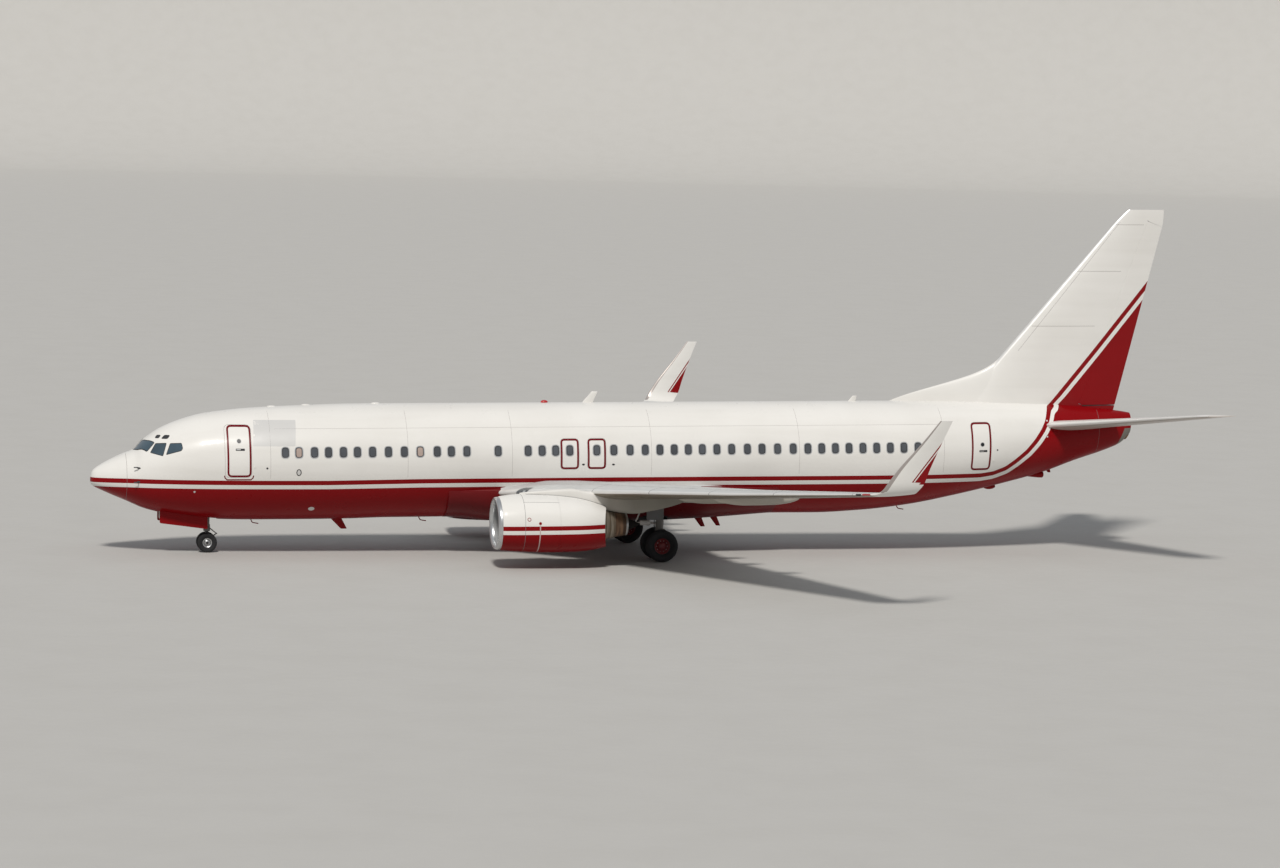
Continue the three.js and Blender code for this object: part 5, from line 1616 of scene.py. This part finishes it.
def build_main_gear():
    x, y, axle, split = MAIN["x"], MAIN["y"], MAIN["tyre"], MAIN_LEG["split"]
    leg = [
        rod((x, y, split), (x, y, MAIN_LEG["top"]), MAIN_LEG["cylinder"], 40),
        rod((x, y, split - 0.02), (x, y, split + 0.07), 0.155, 40, 0.01),
        rod((x, y, 1.52), (x, y, 1.6), 0.15, 40, 0.01),
        rod((x, y - 0.17, axle), (x, y + 0.17, axle), 0.105, 36, 0.01),
        rod((x, y, axle), (x, y, 0.74), 0.115, 36, 0.015),
        torque_links(x + 0.1, y, split + 0.05, axle + 0.13, 0.27, 0.14, 0.05),
        rod((x - 0.02, y, 1.7), (x - 0.55, y, 2.25), 0.045, 20),
    ]
    both("main_leg_body_*", leg, GRIMY_SHADED_STRUT, replaces="main_leg_*", slot="strut_paint", place=GROUND)
    piston = rod((x, y, 0.7), (x, y, split + 0.03), MAIN_LEG["piston"], 40)
    both("main_piston_*", piston, CHROME, place=GROUND)
    strut = [
        rod((x, y - 0.1, 1.32), (x, 1.5, 1.9), 0.055, 28),
        rod((x, y - 0.1, 1.32), (x, y - 0.34, 1.43), 0.075, 28),
        rod((x - 0.12, 2.1, 1.68), (x + 0.12, 2.1, 1.68), 0.045, 20),
        rod((x, 2.1, 1.68), (x, 2.55, 2.15), 0.034, 20),
    ]
    name = "main_side_strut_*"
    both(name + "_body", strut, GRIMY_SHADED_STRUT, replaces=name, slot="strut_paint", place=GROUND)
    door = plate(rounded_box(x - 0.5, x + 0.11, 1.45, 2.15, 0.08), y + 0.125, y + 0.16)
    both("main_leg_door_*", door, LEG_DOOR_SHADED_GREY, place=GROUND)
    damper = [
        rod((x - 0.66, y - 0.22, 1.315), (x - 0.29, y - 0.22, 1.31), 0.095, 32, 0.02),
        rod((x - 0.85, y - 0.22, 1.315), (x - 0.64, y - 0.22, 1.315), 0.03, 20),
        rod((x - 0.31, y - 0.22, 1.31), (x - 0.02, y - 0.06, 1.31), 0.04, 20),
        rod((x - 0.82, y - 0.22, 1.315), (x - 0.5, y - 0.03, 2.2), 0.028, 16),
    ]
    both("main_damper_*", damper, DAMPER_WHITE, place=GROUND)
    hoses = [tube(bowed(np.add((x, y, 0), path)), radius, 8) for path, radius in HOSES]
    both("main_leg_hoses_*", hoses, HOSE, place=GROUND)
    brakes = []
    for out in (-1, 1):
        spot = y + out * 0.2
        brakes.append(rod((x, spot, axle), (x, spot + out * 0.1, axle), 0.2, 40, 0.008))
        for angle in np.radians(np.arange(0, 360, 60)):
            across, up = 0.15 * math.cos(angle), 0.15 * math.sin(angle)
            place = np.array([x + across, spot - out * 0.02, axle + up])
            brakes.append(rod(place, place + (0, out * 0.05, 0), 0.028, 16))
    both("main_brakes_*", brakes, DARK, place=GROUND)
    spread, body = MAIN["spread"], "main_wheels_*"
    wheels, bolts = zip(*(gear_wheel(MAIN, y + out * spread, out) for out in (-1, 1)))
    rims = [*wheels, rod((x, y - spread, axle), (x, y + spread, axle), MAIN["axle"], 24)]
    both(body + "_rims", rims, HUB_RED, body, body, slot="red_paint", place=GROUND, sharp=40)
    both(body + "_bolts", list(bolts), STAINLESS, body, place=GROUND)
    for label, out in (("inner", -1), ("outer", 1)):
        name, shape = f"main_tyre_{label}_*", gear_tyre(MAIN, y + out * spread)
        both(name + "_skin", shape, RUBBER, body, name, slot="tyre_rubber", place=GROUND, sharp=40)


def bowed(points, count=24):
    """A smooth path through points."""
    points = np.array(points, float)
    run = np.concatenate([[0], np.cumsum(np.linalg.norm(np.diff(points, axis=0), axis=1))])
    t = np.linspace(0, run[-1], count)
    return np.stack([smooth_curve(run, c)(t) for c in points.T], 1)


def plate(flat, y0, y1, bevel=0.004):
    """An upright plate with the given outline in x and z."""
    inset = grown(flat, -bevel)
    layers = ((inset, y0), (flat, y0 + bevel), (flat, y1 - bevel), (inset, y1))
    return loft([points_of(f[:, 0], y, f[:, 1]) for f, y in layers])


def build_nose_gear():
    x, axle, split = NOSE["x"], NOSE["tyre"], NOSE_LEG["split"]
    leg = [
        rod((x, 0, split), (x, 0, NOSE_LEG["top"]), NOSE_LEG["cylinder"], 36),
        rod((x, 0, split + 0.002), (x, 0, split + 0.07), 0.115, 36, 0.008),
        rod((x, 0, 1.22), (x, 0, 1.3), 0.112, 36, 0.008),
        rod((x, 0, 1.08), (x - 1.05, 0, 1.8), 0.042, 24),
        rod((x, -0.16, 1.72), (x, 0.16, 1.72), 0.06, 24),
        rod((x - 0.02, -0.12, 1.1), (x - 0.5, -0.2, 1.5), 0.022, 16),
        rod((x - 0.02, 0.12, 1.1), (x - 0.5, 0.2, 1.5), 0.022, 16),
    ]
    piece("nose_leg_body", leg, GRIMY_SHADED_STRUT, replaces="nose_leg", slot="strut_paint", place=GROUND)
    lamps = [rod((x - 0.16, y, 1.06), (x - 0.11, y, 1.06), 0.05, 28, 0.01) for y in (-0.08, 0.08)]
    piece("taxi_lights", lamps, LAMP, place=GROUND)
    collar, body = split - 0.04, "nose_steering"
    steered = [
        rod((x, 0, collar - 0.13), (x, 0, split - 0.003), 0.118, 36, 0.008),
        rod((x, -0.08, axle), (x, 0.08, axle), 0.068, 28, 0.006),
        rod((x, 0, axle), (x, 0, 0.47), 0.075, 28, 0.01),
    ]
    level = collar - 0.03
    steered += [rod((x - 0.1, y, level), (x + 0.06, y * 1.1, level), 0.034, 20) for y in (-0.13, 0.13)]
    piece("nose_steering_body", steered, GRIMY_SHADED_STRUT, body, body, "strut_paint", GROUND)
    links = torque_links(x + 0.07, 0, collar, axle + 0.09, 0.27, 0.085, 0.04)
    piece("nose_torque_links", links, GRIMY_SHADED_STRUT, body, place=GROUND)
    piece("nose_piston", rod((x, 0, 0.44), (x, 0, collar), NOSE_LEG["piston"], 36), DARK, body, place=GROUND)
    half, rim, spread, body = NOSE["width"] / 2, NOSE["rim"], NOSE["spread"], "nose_wheels"
    darks = []
    for out in (-1, 1):
        middle = (x, out * spread, axle)
        cap = [(0.5, 0.0), (0.5, 0.056), (0.72, 0.05), (0.72, 0.0)]
        darks.append(lathe([(out * half * a, r) for a, r in cap], middle, (0, 1, 0), 36))
        ring = [(0.25, 0.66), (0.33, 0.66), (0.39, 0.76), (0.3, 0.78)]
        darks.append(lathe([(out * half * a, rim * r) for a, r in ring], middle, (0, 1, 0), 48, loop=True))
    piece("nose_wheel_darks", darks, SEAL, body, place=GROUND)
    wheels, bolts = zip(*(gear_wheel(NOSE, out * spread, out) for out in (-1, 1)))
    rims = [*wheels, rod((x, -spread, axle), (x, spread, axle), NOSE["axle"], 24)]
    piece("nose_wheel_rims", rims, RIM_METAL, body, body, "bare_metal", GROUND, 40)
    piece("nose_wheel_bolts", list(bolts), STAINLESS, body, place=GROUND)
    for side, hand in HANDS:
        name, shape = "nose_tyre_" + hand, gear_tyre(NOSE, side * spread)
        piece(name + "_skin", shape, RUBBER, body, name, "tyre_rubber", GROUND, 40)


def build_nose_doors():
    start, end, foot = NOSE_DOOR["from"], NOSE_DOOR["to"], NOSE_DOOR["foot"]
    flat = outline([(start, -2.21), (end, foot), (end, -1.72), (start, -1.72)], 0.05)
    inner = NOSE_BAY["half_width"] + 0.02
    panel = plate(flat, inner, inner + NOSE_DOOR["thickness"])
    both("nose_door_*_panel", panel, RED_PAINT, replaces="nose_door_*", slot="red_paint")
    stations = np.linspace(start + 0.15, end - 0.2, 6)
    ribs = [block((x, inner - 0.035, -2.15), (x + 0.03, inner, -1.75)) for x in stations]
    front, back = start + 0.05, end - 0.05
    lining = outline([(front, -2.15), (back, foot + 0.08), (back, -1.74), (front, -1.74)], 0.05)
    both("nose_door_*_ribs", [*ribs, plate(lining, inner - 0.014, inner - 0.001)], WHITE_PAINT)
    arms = [rod((x, inner, -2.0), (x, inner - 0.2, -1.6), 0.018, 14) for x in (start + 0.35, end - 0.4)]
    both("nose_door_*_arms", arms, STAINLESS)


# Aerials, drains, probes and lights
PORTS = [  # x, height, half width and half height of small dark openings
    (5.98, -0.19, 0.035, 0.035),
    (17.14, -0.146, 0.052, 0.032),
    (18.22, -0.155, 0.052, 0.032),
    (32.467, 0.21, 0.03, 0.03),
]
PALE_SPOTS = [  # the same of small pale plates
    (7.08, -0.343, 0.06, 0.09),
    (7.6, -1.682, 0.11, 0.07),
    (3.5, -1.02, 0.035, 0.035),
    (34.49, 1.21, 0.03, 0.03),
    (34.46, 0.645, 0.03, 0.03),
]
BLADES = [  # x at the front and back of the foot, height, sweep, 1 for up or -1 for down
    ("crown_blade_front", 17.42, 17.82, 0.42, 0.28, 1),
    ("crown_blade_rear", 27.24, 27.53, 0.22, 0.12, 1),
    ("belly_blade_front", 8.42, 8.82, 0.4, 0.3, -1),
    ("belly_blade_middle", 21.56, 21.86, 0.38, 0.22, -1),
    ("belly_blade_rear", 22.14, 22.42, 0.38, 0.22, -1),
]
BEACON, BELLY_BEACON = (16.07, 0.02), (17.2, -2.33)  # x and height: over the crown, and in the frame
CROWN_BUMPS = [6.33, 7.54, 10.01]
DRAIN_MASTS = [5.63, 11.6, 29.2]
HULL_JOINTS = [6.1, 10.9, 14.6, 19.6, 25.0, 30.4]
BLADE_THICKNESS = 0.045
PROBES = [(1.62, -0.22), (1.6, -0.69)]  # x and height
CARGO_DOORS = [(8.6, 9.95, -1.75, -0.86), (25.9, 27.1, -1.6, -0.8)]  # x from, x to, sill, head
BARE_PANEL = [(5.5, 0.57), (6.96, 0.565), (7.03, 1.43), (5.57, 1.43)]
BUMPER_X = 32.65
SKID_RADII = [0.04, 0.1, 0.12, 0.12, 0.09]
SKID = [(33.75, 0, -0.78), (34.1, 0, -0.82), (34.5, 0, -0.845), (34.66, 0, -0.85), (34.7, 0, -0.85)]
EXHAUST_PIPE = [(-0.2, 0.15), (-0.2, 0.172), (0.06, 0.172), (0.088, 0.162), (0.088, 0.152)]
EXHAUST_PIPE += [(0.02, 0.138), (-0.12, 0.1)]


def blade_aerial(start, end, high, sweep, way, foot):
    t = around(20)
    rings = []
    for share in (0, 0.04, 0.3, 0.6, 0.85, 0.97, 1):
        taper = 1 - 0.45 * share - (0.15 if share == 1 else 0)
        half = BLADE_THICKNESS / 2 * (1 - 0.5 * share) * (0.5 if share == 1 else 1)
        x = (start + end) / 2 + sweep * share + (end - start) / 2 * taper * np.cos(t)
        y = half * np.sin(t) * np.abs(np.sin(t)) ** 0.3
        rings.append(points_of(x, y, foot + way * (high * share - 0.03)))
    return loft(rings)


def build_aerials():
    for name, start, end, high, sweep, way in BLADES:
        middle = (start + end) / 2
        foot = hull_crown(middle) if way > 0 else hull_keel(middle)
        if FAIRING_ROWS[0][0] < middle < FAIRING_ROWS[-1][0] and way < 0:
            foot = columns(FAIRING_ROWS)[1](middle)
        shape = blade_aerial(start, end, high, sweep, way, float(foot))
        piece(name, shape, WHITE_PAINT if way > 0 else RED_PAINT)
    spots = [(BEACON[0], 0, hull_crown(BEACON[0]) + BEACON[1]), (BELLY_BEACON[0], 0, BELLY_BEACON[1])]
    piece("beacon_lights", [ellipsoid(spot, (0.13, 0.09, 0.07)) for spot in spots], NAVIGATION[-1])
    bumps = [ellipsoid((x, 0, hull_crown(x)), (0.16, 0.09, 0.04)) for x in CROWN_BUMPS]
    piece("crown_bumps", bumps, WHITE_PAINT)
    masts = []
    for x in DRAIN_MASTS:
        keel = float(hull_keel(x))
        path = [(x, 0.3, keel + 0.03), (x + 0.1, 0.3, keel - 0.15), (x + 0.3, 0.3, keel - 0.19)]
        masts.append(tube(bowed(path), 0.018, 10))
    piece("drain_masts", masts, RED_PAINT)
    wicks = []
    for surface, places, length in ((WING, WING_WICKS, 0.12), (STABILISER, STABILISER_WICKS, 0.02)):
        for tail in (surface(y, 0.999) for y in places):
            wicks.append(tube([tail + (-0.02, 0, -0.004), tail + (length, 0, -0.004)], 0.004, 6))
    both("static_wicks_*", wicks, SEAM_PAINT)


def build_hull_trim():
    ring = oval(7.08, -0.343, 0.09, 0.12, 28)
    for side, hand in HANDS:
        at = hull_side(side)
        probes = []
        for x, z in PROBES:
            foot, out = at(x, z, 0.0), at(x, z, 0.1)
            path = [foot, foot * 0.3 + out * 0.7, out + (-0.03, 0, 0), out + (-0.14, 0, 0)]
            probes.append(tube(bowed(path, 14), 0.02, 10))
            probes.append(slab(at, oval(x, z, 0.06, 0.03), 0.006, -0.004, 2))
        ports = [slab(at, oval(*port), 0.004, -0.004, 2) for port in PORTS]
        spots = [slab(at, oval(*spot), 0.002, -0.004, 2) for spot in PALE_SPOTS]
        piece("pale_spots_" + hand, spots, PLATE)
        piece("pitot_probes_" + hand, probes, DARK)
        piece("static_ports_" + hand, [*ports, band(at, grown(ring, -0.03), ring, 0.003)], SEAL)
        lines = [
            seam(at, [(RADOME_SEAM, -1.38), (RADOME_SEAM, 0.2)], 0.009, 0.0016, 0.025),
            *[seam(at, [(x, -0.55), (x, 1.7)], 0.006, 0.0008, 0.06) for x in HULL_JOINTS],
            seam(at, [(HULL_JOINTS[0], 1.15), (HULL_JOINTS[-1], 1.15)], 0.006, 0.0008, 0.2),
            seam(at, [(TAIL_CONE_SEAM, 0.0), (TAIL_CONE_SEAM, 1.54)], 0.008, 0.0016, 0.025),
        ]
        piece("hull_seams_" + hand, lines, FAINT_SEAM)
    cargo = [rounded_box(*door, 0.1) for door in CARGO_DOORS]
    piece("cargo_door_seams", [band(hull_side(1), f, grown(f, 0.012), 0.0012) for f in cargo], SEAM_PAINT)
    panel = outline(BARE_PANEL, 0.02, 0.06)
    piece("bare_panel", slab(hull_side(-1), panel, 0.0008, -0.003, 6), PLATE)


def build_tail_trim():
    mouth, aim = np.array([EXHAUST["x"], 0, EXHAUST["z"]]), unit(np.array([0.61, 0, -0.33]))
    piece("exhaust_pipe", lathe(EXHAUST_PIPE, mouth, aim, 64, loop=True), BRONZE)
    piece("exhaust_inside", rod(mouth, mouth + aim * 0.02, 0.14, 48, 0.001), BLACK)
    piece("tail_light", ellipsoid((HULL_ROWS[-1][0], 0, 1.16), (0.045, 0.05, 0.05)), LENS)
    bumper = ellipsoid((BUMPER_X, 0, float(hull_keel(BUMPER_X)) - 0.02), (0.24, 0.06, 0.105))
    skid = tube(SKID, SKID_RADII)
    fin = blade_aerial(34.76, 34.96, 0.13, 0.08, -1, float(hull_keel(34.86)))
    piece("tail_bumper", [bumper, skid, fin], RED_PAINT)


# Stage: a round floor whose rim curves up into a low backdrop
STAGE = {"radius": 480, "cove": 70, "sides": 96, "level": -0.001}
SKY = {"colour": (0.9, 0.94, 1.0, 1), "strength": 0.38}
SUN = {"energy": 2.6, "spread": 8, "colour": (1.0, 0.965, 0.91), "tilt": (38, -14, 0)}  # in degrees


def build_stage():
    bpy.context.scene.view_settings.view_transform = "Standard"
    pale = plain_paint("studio_floor", (0.5, 0.49, 0.47), 0.85, 0, grime=0.06, streaks=0.0, bump=0.0)
    c, s = circle(STAGE["sides"])
    rings = [points_of(c * r, s * r, STAGE["level"]) for r in (0.5, 20, 60, 150, 300, STAGE["radius"])]
    for turn in np.linspace(0, np.pi / 2, 33)[1:]:
        reach, rise = STAGE["radius"] + STAGE["cove"] * np.sin(turn), STAGE["cove"] * (1 - np.cos(turn))
        rings.append(points_of(c * reach, s * reach, rise))
    points, faces = loft(rings, ends=False)
    faces = [face[::-1] for face in faces] + [tuple(range(STAGE["sides"]))]
    mesh = mesh_of("studio_floor", (points, faces), Matrix())
    mesh.shade_smooth()
    mesh.materials.append(pale)
    floor = bpy.data.objects.new("studio_floor", mesh)
    bpy.context.scene.collection.objects.link(floor)
    world = bpy.data.worlds.new("studio")
    bpy.context.scene.world = world
    world.use_nodes = True
    sky = world.node_tree.nodes["Background"]
    sky.inputs["Color"].default_value = SKY["colour"]
    sky.inputs["Strength"].default_value = SKY["strength"]
    sun = bpy.data.lights.new("soft_sun", "SUN")
    sun.energy = SUN["energy"]
    sun.angle = math.radians(SUN["spread"])
    sun.color = SUN["colour"]
    lamp = bpy.data.objects.new("soft_sun", sun)
    lamp.rotation_euler = [math.radians(angle) for angle in SUN["tilt"]]
    bpy.context.scene.collection.objects.link(lamp)


def build_camera():
    yaw, pitch, roll = (math.radians(CAMERA[k]) for k in ("yaw", "pitch", "roll"))
    ahead = Vector((math.sin(yaw) * math.cos(pitch), math.cos(yaw) * math.cos(pitch), -math.sin(pitch)))
    level = Vector((math.cos(yaw), -math.sin(yaw), 0))
    above = level.cross(ahead)
    right = math.cos(roll) * level + math.sin(roll) * above
    up = -math.sin(roll) * level + math.cos(roll) * above
    turn = Matrix((right, up, -ahead)).transposed()
    data = bpy.data.cameras.new("photo_camera")
    data.sensor_width = SENSOR
    data.lens = FOCAL_PIXELS * SENSOR / PHOTO_WIDTH
    data.clip_end = 3000
    item = bpy.data.objects.new("photo_camera", data)
    item.matrix_world = Matrix.Translation((CAMERA["x"], CAMERA["y"], CAMERA["z"])) @ turn.to_4x4()
    bpy.context.scene.collection.objects.link(item)
    bpy.context.scene.camera = item


build_camera()
build_stage()
build_fuselage()
build_doors()
build_cabin_windows()
build_cockpit()
build_fairings()
build_wings()
build_winglets()
build_wing_lights()
build_fin()
build_stabilisers()
build_nacelles()
build_engines()
build_main_gear()
build_nose_gear()
build_nose_doors()
build_aerials()
build_hull_trim()
build_tail_trim()
